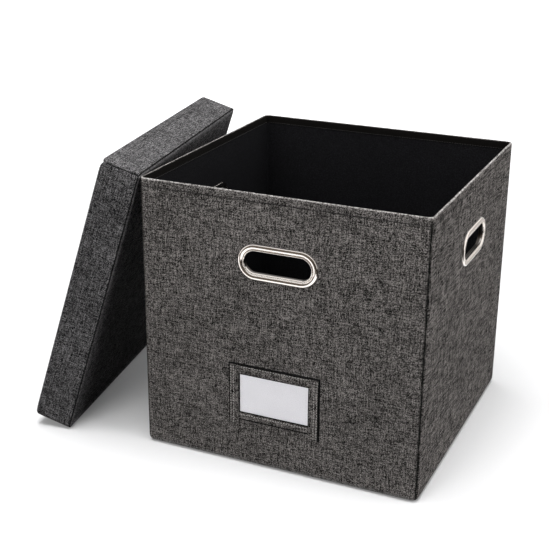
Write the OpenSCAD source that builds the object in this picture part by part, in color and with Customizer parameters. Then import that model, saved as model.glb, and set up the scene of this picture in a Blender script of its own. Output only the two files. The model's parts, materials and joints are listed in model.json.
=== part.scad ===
// Record carrying case: a square box of fabric-covered boards with pressed metal grips,
// a label holder on the front, a loose base insert and a lift-off lid.
// The case stands on z = 0 with its middle on the origin, its front towards -y.
// The lid stands on the floor to the left and leans on the rim at the front left corner.

/* [Case] */
// Outside width of the case, left to right
case_w = 350; // [300:1:420]
// Outside depth of the case, front to back
case_d = 350; // [300:1:450]
// Outside height of the case, floor to rim
case_h = 340; // [270:1:400]
// Outside radius of the upright corners and of the bottom edges
edge_r = 7.5; // [4:0.1:10]

/* [Boards and fabric] */
// Thickness of the boards in the walls, the bottom and the lid
board_t = 2.2; // [1.5:0.1:3]
// Thickness of the outer fabric
cover_t = 0.7; // [0.4:0.1:1]
// Thickness of the lining fabric
lining_t = 0.5; // [0.3:0.1:0.9]
// Height of the hem that turns over the rim to the inside
hem_h = 11; // [6:0.5:25]
// Width of the seam groove between two sides of the fabric, up each corner
corner_seam = 0.6; // [0.2:0.1:1]

/* [Base insert] */
// Thickness of the board inside the loose base insert
insert_board_t = 2.4; // [1.5:0.1:5]
// Space between the base insert and the grips' inner rings as it is lifted past them
insert_gap = 0.8; // [0.4:0.1:4]

/* [Grips] */
// Width of a grip over its bezel
grip_w = 98; // [80:1:130]
// Height of a grip over its bezel
grip_h = 43; // [36:1:60]
// Distance from the rim down to the middle of a grip
grip_drop = 80; // [50:1:120]
// Width of the metal band between its outer edge and the finger opening
bezel_w = 8; // [7:0.1:10]
// Width of the inner lip, from the finger opening to the groove
lip_w = 1.5; // [1.2:0.1:2]
// Height of the bezel's rounded bead above the fabric
bezel_rise = 2.6; // [1.5:0.1:4]
// Thickness of the pressed metal
metal_t = 0.8; // [0.5:0.1:1]
// Space between the grip's collar and the slot in the wall
slot_gap = 0.4; // [0.2:0.1:1]
// Width of the ring that clamps the grip inside the wall
ring_w = 6; // [4:0.1:8]
// Thickness of the clamping ring
ring_t = 1.2; // [0.8:0.1:2]

/* [Label holder] */
// Width of the window
window_w = 88; // [60:1:110]
// Height of the window
window_h = 50; // [35:1:60]
// Height of the window's middle above the floor
label_z = 94; // [70:1:120]
// Distance of the window's middle to the right of the case's middle
label_x = -3; // [-30:1:30]
// Width of the strips at the window's sides
side_strip_w = 12; // [8:0.5:18]
// Width of the strip above the window
top_strip_w = 11; // [6:0.5:18]
// Width of the strip below the window
bottom_strip_w = 9; // [6:0.5:18]
// Length by which the side strips run on below the bottom strip
strip_tail = 8; // [0:0.5:14]
// Thickness of the side strips
strip_t = 2.6; // [2:0.1:4]
// Step from the side strips down to the top and bottom strips
strip_step = 0.5; // [0.2:0.1:0.7]
// Depth of the pocket behind the strips
pocket_t = 1.2; // [1:0.1:1.5]
// Thickness of the clear film over the card
film_t = 0.3; // [0.2:0.05:0.4]
// Thickness of the card
card_t = 0.4; // [0.2:0.05:0.5]
// Width of card that lies hidden behind each strip
card_lap = 3; // [2:0.1:4]
// Space round the card in its pocket
card_gap = 0.5; // [0.3:0.1:1]

/* [Lid] */
// Outside height of the lid, from its mouth to its top
lid_h = 48; // [30:1:80]
// Space between the lid's lining and the case, on each side
lid_gap = 2; // [1:0.1:5]
// Outside radius of the lid's upright corners
lid_edge_r = 7.5; // [4:0.1:10]
// Width of the seam groove round the lid's top
lid_seam = 0.6; // [0.3:0.1:1]

/* [Lid's place] */
// Lean of the lid from upright
lid_tilt = 17.5; // [10:0.5:24]
// Turn of the lid away from the case's side
lid_yaw = 8.5; // [2:0.5:15]
// Distance from the lid's front end to the point where it leans on the rim
lid_lap = 10; // [6:0.5:60]
// Space left between the lid and the rim it leans on
lean_gap = 0.3; // [0.2:0.1:1]

/* [Hidden] */
$fn = 48;

// Numbers of the four sides, counted round from the front
FRONT = 0;
RIGHT = 1;
BACK = 2;
LEFT = 3;
// Overlap past a face, so that a cut leaves no skin
cut = 1;

// The wall in section: cover, board and lining, with the cover turned over the rim
fold_r = board_t / 2 + cover_t;
wall_t = cover_t + board_t + lining_t;
board_top = case_h - fold_r;
floor_z = cover_t + board_t + lining_t;

// The base insert, wrapped in lining fabric, resting on the floor of the lining
insert_rest = 0.3;
insert_wall_gap = wall_t + ring_t + insert_gap;
insert_z = floor_z + insert_rest;
insert_t = insert_board_t + 2 * lining_t;
insert_corner_r = 3;

// The grips
grip_z = case_h - grip_drop;
grip_run = grip_w - grip_h;
bezel_r = grip_h / 2;
open_r = bezel_r - bezel_w;
collar_r = open_r + metal_t;
slot_r = collar_r + slot_gap;
bead_w = bezel_w - lip_w;
bead_r = (pow(bead_w / 2, 2) + pow(bezel_rise, 2)) / (2 * bezel_rise);
lip_r = lip_w / 2;
ring_fit = 0.1;

// The label holder
cross_strip_t = strip_t - strip_step;
card_w = window_w + 2 * card_lap;
card_h = window_h + 2 * card_lap;
pocket_w = card_w + 2 * card_gap;
pocket_floor = label_z - card_h / 2 - card_gap / 2;
window_bottom = label_z - window_h / 2;
window_top = label_z + window_h / 2;
card_back_gap = (pocket_t - film_t - card_t) / 2;
strip_round = 0.7;

// The lid, built with its top at z = 0 and its mouth down
lid_w = case_w + 2 * (lid_gap + wall_t);
lid_d = case_d + 2 * (lid_gap + wall_t);
lid_ceiling = -cover_t - board_t;
lid_board_end = fold_r - lid_h;

// The lid's place: across and along its foot, square to its top, and the point it leans on
lean_x = [cos(lid_yaw), sin(lid_yaw), 0];
lean_y = [-sin(lid_yaw), cos(lid_yaw), 0];
lean_n = cos(lid_tilt) * lean_x - [0, 0, sin(lid_tilt)];
rim_middle = [edge_r - case_w / 2, edge_r - case_d / 2, board_top];
touch = rim_middle - (edge_r - fold_r) * lean_x - fold_r * lean_n;
lid_up = lid_w / 2 * cos(lid_tilt) - lid_seam * sin(lid_tilt);
lid_across = (touch * lean_n - lean_gap + lid_up * sin(lid_tilt)) / cos(lid_tilt);
lid_along = touch * lean_y - lid_lap + lid_d / 2;

// Colours as seen on the real pieces
linen = [0.22, 0.22, 0.22];
black_cloth = [0.06, 0.06, 0.065];
greyboard = [0.55, 0.5, 0.43];
nickel = [0.78, 0.76, 0.73];
paper = [0.86, 0.86, 0.87];
clear = [0.9, 0.93, 0.95, 0.35];

function side_length(side, w, d) = side % 2 == 0 ? w : d;
function side_reach(side, w, d) = side % 2 == 0 ? d / 2 : w / 2;

// Puts what is drawn for the front, about the corner axes, on any side of a w by d box
module on_side(side, w, d, r) {
    rotate([0, 0, 90 * side])
        translate([0, r - side_reach(side, w, d), 0])
            children();
}

// Sweeps a section straight along one side, from corner axis to corner axis.
// The section has x outward from the corner's axis and y upward.
module straight_run(side, w, d, r) {
    run = side_length(side, w, d) - 2 * r;
    on_side(side, w, d, r)
        translate([run / 2, 0, 0])
            rotate([90, 0, -90])
                linear_extrude(run)
                    children();
}

// Sweeps a section along one side and half round the corner at each end.
// Where a seam is given, the sweep stops short by half its width, measured on the outer face.
module wall_run(side, w, d, r, seam = 0) {
    run = side_length(side, w, d) - 2 * r;
    seam_angle = asin(seam / 2 / r);
    straight_run(side, w, d, r)
        children();
    on_side(side, w, d, r)
        for (turn = [0, 1])
            mirror([turn, 0, 0])
                translate([run / 2, 0, 0])
                    rotate([0, 0, -90])
                        rotate_extrude(angle = 45 - seam_angle)
                            children();
}

// Sweeps a section round all four sides
module all_round(w, d, r) {
    for (side = [FRONT, RIGHT, BACK, LEFT])
        wall_run(side, w, d, r)
            children();
}

// A flat plate with round corners, from z = 0 up
module round_plate(w, d, r, t) {
    translate([-w / 2, r - d / 2, 0])
        cube([w, d - 2 * r, t]);
    translate([r - w / 2, -d / 2, 0])
        cube([w - 2 * r, d, t]);
    for (x = [r - w / 2, w / 2 - r], y = [r - d / 2, d / 2 - r])
        translate([x, y, 0])
            cylinder(r = r, h = t);
}

// Half of a ring, open downward, for fabric folded over an edge
module folded_over(r_out, t) {
    difference() {
        circle(r = r_out);
        circle(r = r_out - t);
        translate([-r_out - cut, -r_out - cut])
            square([2 * (r_out + cut), r_out + cut]);
    }
}

// The corner of a section that turns from a wall into the bottom
module turned_under(r_out, r_in) {
    intersection() {
        difference() {
            circle(r = r_out);
            if (r_in > 0)
                circle(r = r_in);
        }
        translate([0, -r_out])
            square(r_out);
    }
}

// An upright slot with round ends through a wall, its middle at the origin
module slot(run, r, depth) {
    rotate([90, 0, 0])
        translate([0, 0, -depth / 2]) {
            translate([-run / 2, -r, 0])
                cube([run, 2 * r, depth]);
            for (x = [-run / 2, run / 2])
                translate([x, 0, 0])
                    cylinder(r = r, h = depth);
        }
}

// The wall slots for the grips: the front, the right and the left side have one
module grip_slots() {
    for (side = [FRONT, RIGHT, LEFT])
        on_side(side, case_w, case_d, edge_r)
            translate([0, wall_t / 2 - edge_r, grip_z])
                slot(grip_run, slot_r, wall_t + 2 * cut);
}

// One side of the outer cover: turned under at the floor, hemmed over the rim
module case_cover(side) {
    color(linen)
        difference() {
            wall_run(side, case_w, case_d, edge_r, corner_seam) {
                translate([0, edge_r])
                    turned_under(edge_r, edge_r - cover_t);
                translate([edge_r - cover_t, edge_r])
                    square([cover_t, board_top - edge_r]);
                translate([edge_r - fold_r, board_top])
                    folded_over(fold_r, cover_t);
                translate([edge_r - 2 * fold_r, case_h - hem_h])
                    square([cover_t, hem_h - fold_r]);
            }
            grip_slots();
        }
}

// One wall board, standing on the bottom board
module case_board(side) {
    color(greyboard)
        difference() {
            wall_run(side, case_w, case_d, edge_r)
                intersection() {
                    translate([edge_r - cover_t - board_t, cover_t + board_t])
                        square([board_t, board_top - cover_t - board_t]);
                    union() {
                        translate([0, edge_r])
                            turned_under(edge_r - cover_t, 0);
                        translate([0, edge_r])
                            square([edge_r, case_h]);
                    }
                }
            grip_slots();
        }
}

module front_cover() {
    case_cover(FRONT);
}

module right_cover() {
    case_cover(RIGHT);
}

module back_cover() {
    case_cover(BACK);
}

module left_cover() {
    case_cover(LEFT);
}

module front_board() {
    case_board(FRONT);
}

module right_board() {
    case_board(RIGHT);
}

module back_board() {
    case_board(BACK);
}

module left_board() {
    case_board(LEFT);
}

// The outer fabric under the case, sewn to the four sides
module bottom_cover() {
    color(linen)
        translate([edge_r - case_w / 2, edge_r - case_d / 2, 0])
            cube([case_w - 2 * edge_r, case_d - 2 * edge_r, cover_t]);
}

// The bottom board, its edges eased to the round of the cover and its corners clipped
module bottom_board() {
    color(greyboard) {
        for (side = [FRONT, RIGHT, BACK, LEFT])
            straight_run(side, case_w, case_d, edge_r)
                intersection() {
                    translate([0, edge_r])
                        turned_under(edge_r - cover_t, 0);
                    translate([0, cover_t])
                        square([edge_r, board_t]);
                }
        translate([edge_r - case_w / 2, edge_r - case_d / 2, cover_t])
            cube([case_w - 2 * edge_r, case_d - 2 * edge_r, board_t]);
    }
}

// The lining: a bag that covers the walls up to the hem, and the bottom
module lining() {
    reach = edge_r - cover_t - board_t;
    color(black_cloth)
        difference() {
            union() {
                all_round(case_w, case_d, edge_r) {
                    translate([reach - lining_t, floor_z - lining_t])
                        square([lining_t, case_h - hem_h - floor_z + lining_t]);
                    translate([0, floor_z - lining_t])
                        square([reach, lining_t]);
                }
                translate([edge_r - case_w / 2, edge_r - case_d / 2, floor_z - lining_t])
                    cube([case_w - 2 * edge_r, case_d - 2 * edge_r, lining_t]);
            }
            grip_slots();
        }
}

// Sweeps a section round a slot-shaped path in the plane of a wall.
// The section has x outward from the path's end axis and y out of the wall.
module grip_sweep() {
    rotate([90, 0, 0]) {
        for (turn = [0, 180])
            rotate([0, 0, turn]) {
                translate([grip_run / 2, 0, 0])
                    rotate([0, 0, -90])
                        rotate_extrude(angle = 180)
                            children();
                translate([-grip_run / 2, 0, 0])
                    rotate([90, 0, 90])
                        linear_extrude(grip_run)
                            children();
            }
    }
}

// Puts a grip's piece on the outer face of a side
module at_grip(side) {
    on_side(side, case_w, case_d, edge_r)
        translate([0, -edge_r, grip_z])
            children();
}

// The pressed bezel: a hollow rounded bead, a groove, a lip and a collar through the wall
module grip(side) {
    bead_middle = bezel_r - bead_w / 2;
    collar_depth = wall_t + ring_t;
    color(nickel)
        at_grip(side)
            grip_sweep() {
                intersection() {
                    translate([bead_middle, bezel_rise - bead_r])
                        difference() {
                            circle(r = bead_r);
                            circle(r = bead_r - metal_t);
                        }
                    translate([bezel_r - bead_w, 0])
                        square([bead_w, bezel_rise]);
                }
                translate([open_r, 0])
                    square([lip_w + metal_t, metal_t]);
                translate([open_r, -collar_depth])
                    square([metal_t, collar_depth + metal_t]);
                translate([open_r + lip_r, metal_t])
                    circle(r = lip_r);
            }
}

// The flat ring inside the wall that the collar is clenched over
module grip_ring(side) {
    inner = collar_r + ring_fit;
    round_edge = ring_t / 2;
    color(nickel)
        at_grip(side)
            grip_sweep()
                translate([inner, -wall_t - ring_t]) {
                    square([ring_w - round_edge, ring_t]);
                    translate([ring_w - round_edge, round_edge])
                        circle(r = round_edge);
                }
}

module front_grip() {
    grip(FRONT);
}

module right_grip() {
    grip(RIGHT);
}

module left_grip() {
    grip(LEFT);
}

module front_grip_ring() {
    grip_ring(FRONT);
}

module right_grip_ring() {
    grip_ring(RIGHT);
}

module left_grip_ring() {
    grip_ring(LEFT);
}

// The section of a fabric-wrapped strip, its two front edges rounded
module strip_section(w, t) {
    square([w, t - strip_round]);
    translate([strip_round, 0])
        square([w - 2 * strip_round, t]);
    for (x = [strip_round, w - strip_round])
        translate([x, t - strip_round])
            circle(r = strip_round);
}

// Puts the label holder's pieces on the front face, x to the right and y out of the wall
module at_label() {
    translate([label_x, -case_d / 2, 0])
        children();
}

// The frame: two side strips over a top and a bottom strip, with a pocket open at the top
module label_frame() {
    side_bottom = window_bottom - bottom_strip_w - strip_tail;
    frame_top = window_top + top_strip_w;
    color(linen)
        at_label()
            difference() {
                union() {
                    for (turn = [0, 1])
                        mirror([turn, 0, 0])
                            translate([window_w / 2, 0, side_bottom])
                                linear_extrude(frame_top - side_bottom)
                                    mirror([0, 1])
                                        strip_section(side_strip_w, strip_t);
                    for (z = [window_bottom, frame_top])
                        translate([-window_w / 2 - strip_round, 0, z])
                            rotate([0, 90, 0])
                                linear_extrude(window_w + 2 * strip_round)
                                    mirror([0, 1])
                                        strip_section(z == frame_top ? top_strip_w : bottom_strip_w,
                                                      cross_strip_t);
                }
                translate([-pocket_w / 2, -pocket_t, pocket_floor])
                    cube([pocket_w, pocket_t + cut, frame_top - pocket_floor + cut]);
            }
}

// The clear film behind the window, bonded to the back of the strips
module label_film() {
    color(clear)
        at_label()
            translate([-card_w / 2, -pocket_t, label_z - card_h / 2])
                cube([card_w, film_t, card_h]);
}

// The blank card, standing in the pocket
module label_card() {
    color(paper)
        at_label()
            translate([-card_w / 2, -card_back_gap - card_t, pocket_floor + card_gap / 2])
                cube([card_w, card_t, card_h]);
}

// The pouch round the base insert's board
module base_insert_cover() {
    w = case_w - 2 * insert_wall_gap;
    d = case_d - 2 * insert_wall_gap;
    color(black_cloth)
        translate([0, 0, insert_z])
            difference() {
                round_plate(w, d, insert_corner_r, insert_t);
                translate([0, 0, lining_t])
                    round_plate(w - 2 * lining_t, d - 2 * lining_t,
                                insert_corner_r - lining_t, insert_board_t);
            }
}

// The loose board that keeps the bottom flat and the walls square
module base_insert_board() {
    w = case_w - 2 * insert_wall_gap - 2 * lining_t;
    d = case_d - 2 * insert_wall_gap - 2 * lining_t;
    color(greyboard)
        translate([0, 0, insert_z + lining_t])
            round_plate(w, d, insert_corner_r - lining_t, insert_board_t);
}

// Puts the lid, built with its top at z = 0 and its mouth down, where it leans
module leaning() {
    translate(lid_across * lean_x + lid_along * lean_y + [0, 0, lid_up])
        rotate([0, 90 + lid_tilt, lid_yaw])
            children();
}

// One side of the lid's cover, hemmed over the mouth, with its top edge in the seam
module lid_cover(side) {
    color(linen)
        leaning()
            wall_run(side, lid_w, lid_d, lid_edge_r, corner_seam) {
                translate([lid_edge_r - cover_t, lid_board_end])
                    square([cover_t, -lid_seam - lid_board_end]);
                translate([lid_edge_r - fold_r, lid_board_end])
                    mirror([0, 1])
                        folded_over(fold_r, cover_t);
                translate([lid_edge_r - 2 * fold_r, lid_board_end])
                    square([cover_t, hem_h - fold_r]);
            }
}

// One board of the lid's skirt, below the top board
module lid_board(side) {
    color(greyboard)
        leaning()
            wall_run(side, lid_w, lid_d, lid_edge_r)
                translate([lid_edge_r - cover_t - board_t, lid_board_end])
                    square([board_t, lid_ceiling - lid_board_end]);
}

module lid_front_cover() {
    lid_cover(FRONT);
}

module lid_right_cover() {
    lid_cover(RIGHT);
}

module lid_back_cover() {
    lid_cover(BACK);
}

module lid_left_cover() {
    lid_cover(LEFT);
}

module lid_front_board() {
    lid_board(FRONT);
}

module lid_right_board() {
    lid_board(RIGHT);
}

module lid_back_board() {
    lid_board(BACK);
}

module lid_left_board() {
    lid_board(LEFT);
}

// The fabric over the lid's top, sewn to the sides in a narrow groove
module lid_top_cover() {
    color(linen)
        leaning()
            translate([0, 0, -cover_t])
                round_plate(lid_w - 2 * lid_seam, lid_d - 2 * lid_seam,
                            lid_edge_r - lid_seam, cover_t);
}

// The lid's top board, over the edges of the skirt boards
module lid_top_board() {
    color(greyboard)
        leaning()
            translate([0, 0, lid_ceiling])
                round_plate(lid_w - 2 * cover_t, lid_d - 2 * cover_t,
                            lid_edge_r - cover_t, board_t);
}

// The lid's lining, under the top board and down the skirt to the hem
module lid_lining() {
    reach = lid_edge_r - cover_t - board_t;
    color(black_cloth)
        leaning() {
            all_round(lid_w, lid_d, lid_edge_r) {
                translate([reach - lining_t, hem_h - lid_h])
                    square([lining_t, lid_ceiling - hem_h + lid_h]);
                translate([0, lid_ceiling - lining_t])
                    square([reach, lining_t]);
            }
            translate([lid_edge_r - lid_w / 2, lid_edge_r - lid_d / 2, lid_ceiling - lining_t])
                cube([lid_w - 2 * lid_edge_r, lid_d - 2 * lid_edge_r, lining_t]);
        }
}

front_cover();
right_cover();
back_cover();
left_cover();
bottom_cover();
front_board();
right_board();
back_board();
left_board();
bottom_board();
lining();
front_grip();
right_grip();
left_grip();
front_grip_ring();
right_grip_ring();
left_grip_ring();
label_frame();
label_film();
label_card();
base_insert_cover();
base_insert_board();
lid_top_cover();
lid_front_cover();
lid_right_cover();
lid_back_cover();
lid_left_cover();
lid_top_board();
lid_front_board();
lid_right_board();
lid_back_board();
lid_left_board();
lid_lining();
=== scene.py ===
"""Looks of a record carrying case: linen over boards, pressed grips, a label holder and a lid.

Lengths are in metres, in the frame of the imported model: +X right, +Y back, +Z up.
"""

import json
import logging
import math
from dataclasses import dataclass, field
from enum import Enum

import bmesh
import bpy
import numpy as np
from mathutils import Matrix, Vector

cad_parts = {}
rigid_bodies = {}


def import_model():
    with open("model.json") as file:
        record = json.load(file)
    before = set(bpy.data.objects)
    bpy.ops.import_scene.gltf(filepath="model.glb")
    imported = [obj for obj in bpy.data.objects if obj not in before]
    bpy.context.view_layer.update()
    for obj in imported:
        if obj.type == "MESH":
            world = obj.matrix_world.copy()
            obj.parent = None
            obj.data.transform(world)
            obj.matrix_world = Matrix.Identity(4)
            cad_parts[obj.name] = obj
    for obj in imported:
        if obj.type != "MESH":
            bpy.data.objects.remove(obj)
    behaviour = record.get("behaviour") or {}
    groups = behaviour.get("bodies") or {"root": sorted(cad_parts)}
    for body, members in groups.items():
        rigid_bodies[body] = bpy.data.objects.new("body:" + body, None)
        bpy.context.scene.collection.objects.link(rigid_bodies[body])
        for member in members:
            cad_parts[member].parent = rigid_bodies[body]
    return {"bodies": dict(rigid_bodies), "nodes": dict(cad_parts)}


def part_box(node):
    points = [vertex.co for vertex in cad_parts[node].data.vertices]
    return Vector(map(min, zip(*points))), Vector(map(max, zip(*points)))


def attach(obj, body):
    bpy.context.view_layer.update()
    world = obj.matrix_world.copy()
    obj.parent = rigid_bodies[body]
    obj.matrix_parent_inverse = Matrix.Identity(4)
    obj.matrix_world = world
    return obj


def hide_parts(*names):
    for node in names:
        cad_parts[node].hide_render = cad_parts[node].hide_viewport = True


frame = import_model()
# Only the model's own nodes and bodies stay
for extra in set(bpy.data.objects) - {*frame["nodes"].values(), *frame["bodies"].values()}:
    bpy.data.objects.remove(extra)
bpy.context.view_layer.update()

Array = np.ndarray
Colour = tuple[float, float, float]
MM = 0.001
SAME = 1e-7
LOG = logging.getLogger("record_case")


class Side(Enum):
    """The four sides of a box, counted round from the front as seen from above."""

    FRONT = 0
    RIGHT = 1
    BACK = 2
    LEFT = 3

    @property
    def turn(self) -> float:
        """Angle from the front to this side, in radians."""
        return self.value * math.pi / 2

    @property
    def word(self) -> str:
        """The side's name as it stands in a node's name."""
        return self.name.lower()


class Mouth(Enum):
    """Which way a box is open: its value is the sign of a step towards the mouth."""

    UP = 1
    DOWN = -1


GRIP_SIDES = (Side.FRONT, Side.RIGHT, Side.LEFT)


# Shapes: outlines, sections and the meshes swept from them


def graded(low: float, high: float, coarse: float, zones: tuple = ()) -> Array:
    """Positions from low to high, closer together inside some zones.

    Args:
        low: First position.
        high: Last position.
        coarse: Spacing outside the zones.
        zones: (start, end, spacing) of each finer zone.

    Returns:
        The positions in rising order.
    """
    marks = np.linspace(low, high, math.ceil((high - low) / coarse) + 1)
    for start, end, step in zones:
        start, end = max(start, low), min(end, high)
        if start < end:
            fine = np.linspace(start, end, math.ceil((end - start) / step) + 1)
            marks = np.concatenate([marks[(marks < start) | (marks > end)], fine, [low, high]])
    marks = np.unique(np.round(marks, 7))
    apart = np.concatenate([[True], np.diff(marks) > 0.02 * MM])
    return marks[apart]


def roll(distance: Array, radius: float, depth: float) -> Array:
    """How far cloth sinks near an edge that is rolled in.

    Args:
        distance: Distance to the edge.
        radius: Distance at which the roll starts.
        depth: How deep the edge itself lies.

    Returns:
        The depth at each distance, from depth at the edge to 0.
    """
    share = np.clip(1 - distance / radius, 0, 1)
    return depth * (1 - np.sqrt(np.clip(1 - share**2, 0, 1)))


def fade(distance: Array, start: float, span: float) -> Array:
    """A share that is 0 up to the start and rises evenly to 1 over the span."""
    return np.clip((distance - start) / span, 0, 1)


def bell(distance: Array, width: float) -> Array:
    """A round bump, 1 at distance 0 and nearly gone at twice its width."""
    return np.exp(-((distance / width) ** 2))


def distance_along(path: Array) -> Array:
    """Distance of each point of a path from its first point, measured along it."""
    return np.concatenate([[0.0], np.cumsum(np.linalg.norm(np.diff(path, axis=0), axis=1))])


def tube_faces(rings: int, sides: int, closed: bool = False) -> list[tuple[int, ...]]:
    """Faces of a tube whose points lie ring after ring.

    Args:
        rings: Number of its rings.
        sides: Number of points in a ring.
        closed: Whether its last ring is joined to its first. Otherwise its ends are capped.

    Returns:
        Tuples of the points' numbers.
    """
    faces = []
    for ring in range(rings if closed else rings - 1):
        here, after = ring * sides, (ring + 1) % rings * sides
        for side in range(sides):
            beside = (side + 1) % sides
            faces.append((here + side, here + beside, after + beside, after + side))
    if not closed:
        last = (rings - 1) * sides
        faces += [tuple(range(sides - 1, -1, -1)), tuple(range(last, last + sides))]
    return faces


@dataclass(frozen=True)
class Outline:
    """A box seen from above, with round corners, in four sides that meet at the corners' middles."""

    width: float
    depth: float
    radius: float

    def run(self, side: Side) -> float:
        """Length of a side's straight stretch."""
        length = self.width if side.value % 2 == 0 else self.depth
        return length - 2 * self.radius

    def reach(self, side: Side, seam: float = 0.0) -> float:
        """Distance along the outer face from a side's middle to its end, short of half a seam."""
        return self.run(side) / 2 + self.radius * math.pi / 4 - seam / 2

    def stations(self, side: Side, along: Array) -> tuple[Array, Array]:
        """The corner axes and the ways out at positions along a side.

        Args:
            side: The side.
            along: Distances from the side's middle, measured on the outer face.

        Returns:
            Points on the line of the corner axes, and unit vectors out of the wall.
        """
        half = self.run(side) / 2
        reach = (self.depth if side.value % 2 == 0 else self.width) / 2 - self.radius
        angle = np.sign(along) * np.clip(np.abs(along) - half, 0, None) / self.radius
        level = np.zeros_like(along)
        centres = np.stack([np.clip(along, -half, half), level - reach, level], axis=-1)
        ways = np.stack([np.sin(angle), -np.cos(angle), level], axis=-1)
        turn = np.array(Matrix.Rotation(side.turn, 3, "Z"))
        return centres @ turn.T, ways @ turn.T

    def marks(self, side: Side, coarse: float, fine: float, seam: float = 0.0, ease: float = 0.0,
              zones: tuple = ()) -> Array:
        """Positions along a side's outer face, closer together where it rounds its corners.

        Args:
            side: The side.
            coarse: Spacing on the straight stretch.
            fine: Spacing round the corners.
            seam: Width of the corners' seams, of which the side stops short.
            ease: How far the finer spacing runs on into the straight stretch.
            zones: (start, end, spacing) of each further zone.

        Returns:
            The positions in rising order.
        """
        reach = self.reach(side, seam)
        corner = self.run(side) / 2 - ease
        return graded(-reach, reach, coarse, ((-reach, -corner, fine), (corner, reach, fine), *zones))


@dataclass(frozen=True)
class Section:
    """Cloth cut across: where its outer face runs, which way it faces, and how pale each point is: abrasion
    at its folds, and on the case's lit rim a painted highlight too.
    """

    out: Array
    up: Array
    face_out: Array
    face_up: Array
    worn: Array

    @property
    def length(self) -> Array:
        """Distance along the outer face from its first point."""
        return distance_along(np.stack([self.out, self.up], axis=-1))


class SectionPen:
    """Draws the outer face of cloth in section, in straight and round stretches."""

    def __init__(self) -> None:
        """Starts with nothing drawn."""
        self.rows: list[Array] = []

    def line(self, start: tuple, end: tuple, marks: Array, facing: float = 1.0) -> "SectionPen":
        """Adds a straight stretch that faces to the right of its way.

        Args:
            start: (out, up) of its start.
            end: (out, up) of its end.
            marks: Distances from the start at which points lie.
            facing: -1 to have it face to the left instead.

        Returns:
            The pen.
        """
        way = Vector(end) - Vector(start)
        share = marks / way.length
        rows = np.empty((len(marks), 5))
        rows[:, 0] = start[0] + way.x * share
        rows[:, 1] = start[1] + way.y * share
        rows[:, 2] = facing * way.y / way.length
        rows[:, 3] = -facing * way.x / way.length
        rows[:, 4] = 0
        self.rows.append(rows)
        return self

    def arc(self, centre: tuple, radius: float, start: float, end: float, count: int,
            facing: float = 1.0) -> "SectionPen":
        """Adds a round stretch that faces away from its centre, pale at its middle: abrasion on the fold, and
        on the case's lit rim a painted highlight too.

        Args:
            centre: (out, up) of its centre.
            radius: Its radius.
            start: Angle at which it starts, in degrees up from the way out.
            end: Angle at which it ends.
            count: Number of its points.
            facing: -1 to have it face its centre, without that pale mark.

        Returns:
            The pen.
        """
        angle = np.radians(np.linspace(start, end, count))
        rows = np.empty((count, 5))
        rows[:, 2] = np.cos(angle)
        rows[:, 3] = np.sin(angle)
        rows[:, :2] = np.array(centre) + radius * rows[:, 2:4]
        rows[:, 2:4] *= facing
        # Pale at the fold's middle: abrasion, and on the case's lit rim a painted highlight too.
        rows[:, 4] = max(facing, 0) * np.sin(np.linspace(0, math.pi, count)) ** 2
        self.rows.append(rows)
        return self

    def section(self) -> Section:
        """The section drawn so far, without points that repeat."""
        rows = np.concatenate(self.rows)
        apart = np.hypot(*np.diff(rows[:, :2], axis=0).T) > 0.01 * MM
        rows = rows[np.concatenate([[True], apart])]
        return Section(*rows.T)


@dataclass(frozen=True)
class Sheet:
    """Cloth or board along one side of a box: the side, the positions along it and its section."""

    side: Side
    along: Array
    section: Section

    @property
    def places(self) -> list[Array]:
        """Each point's place along the side and its height, rows by columns."""
        return np.meshgrid(self.along, self.section.up)

    @property
    def cloth(self) -> Array:
        """Each point's place along and across the cloth, rows by columns by 2."""
        return np.stack(np.broadcast_arrays(self.along[None], self.section.length[:, None]), axis=-1)

    def points(self, outline: Outline, lift: Array | float) -> Array:
        """Carries the section along the side.

        Args:
            outline: The box.
            lift: How far each point stands off the section's face.

        Returns:
            The points, as rows, columns and x, y, z.
        """
        section = self.section
        centres, ways = outline.stations(self.side, self.along)
        out = section.out[:, None] + lift * section.face_out[:, None] + 0 * self.along
        up = section.up[:, None] + lift * section.face_up[:, None] + 0 * self.along
        points = centres + out[..., None] * ways
        points[..., 2] += up
        return points


@dataclass(frozen=True)
class Ripples:
    """The slight unevenness of cloth, as a seeded sum of long waves."""

    seed: int
    shortest: float = 45 * MM
    longest: float = 150 * MM
    waves: int = 16

    def at(self, along: Array, across: Array) -> Array:
        """The unevenness at points of the cloth.

        Args:
            along: Their places along the cloth.
            across: Their places across it.

        Returns:
            The unevenness of each point, from 0 to 1.
        """
        rng = np.random.default_rng(self.seed)
        total = np.zeros(np.broadcast(along, across).shape)
        for _ in range(self.waves):
            way = rng.uniform(0, math.pi)
            span = rng.uniform(self.shortest, self.longest)
            turn = (along * math.cos(way) + across * math.sin(way)) / span + rng.uniform()
            total += np.sin(2 * math.pi * turn)
        return 0.5 + 0.5 * np.tanh(total / math.sqrt(self.waves))


@dataclass(frozen=True)
class SlotShape:
    """A slot with round ends in a wall: its middle's height, half its straight run and its radius."""

    height: float
    half_run: float
    radius: float

    def from_middle(self, along: Array, up: Array) -> tuple[Array, Array, Array]:
        """Distance of points to the slot's middle line, and the way to them: beside it and above it."""
        beside, above = along - np.clip(along, -self.half_run, self.half_run), up - self.height
        return np.hypot(beside, above), beside, above


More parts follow.
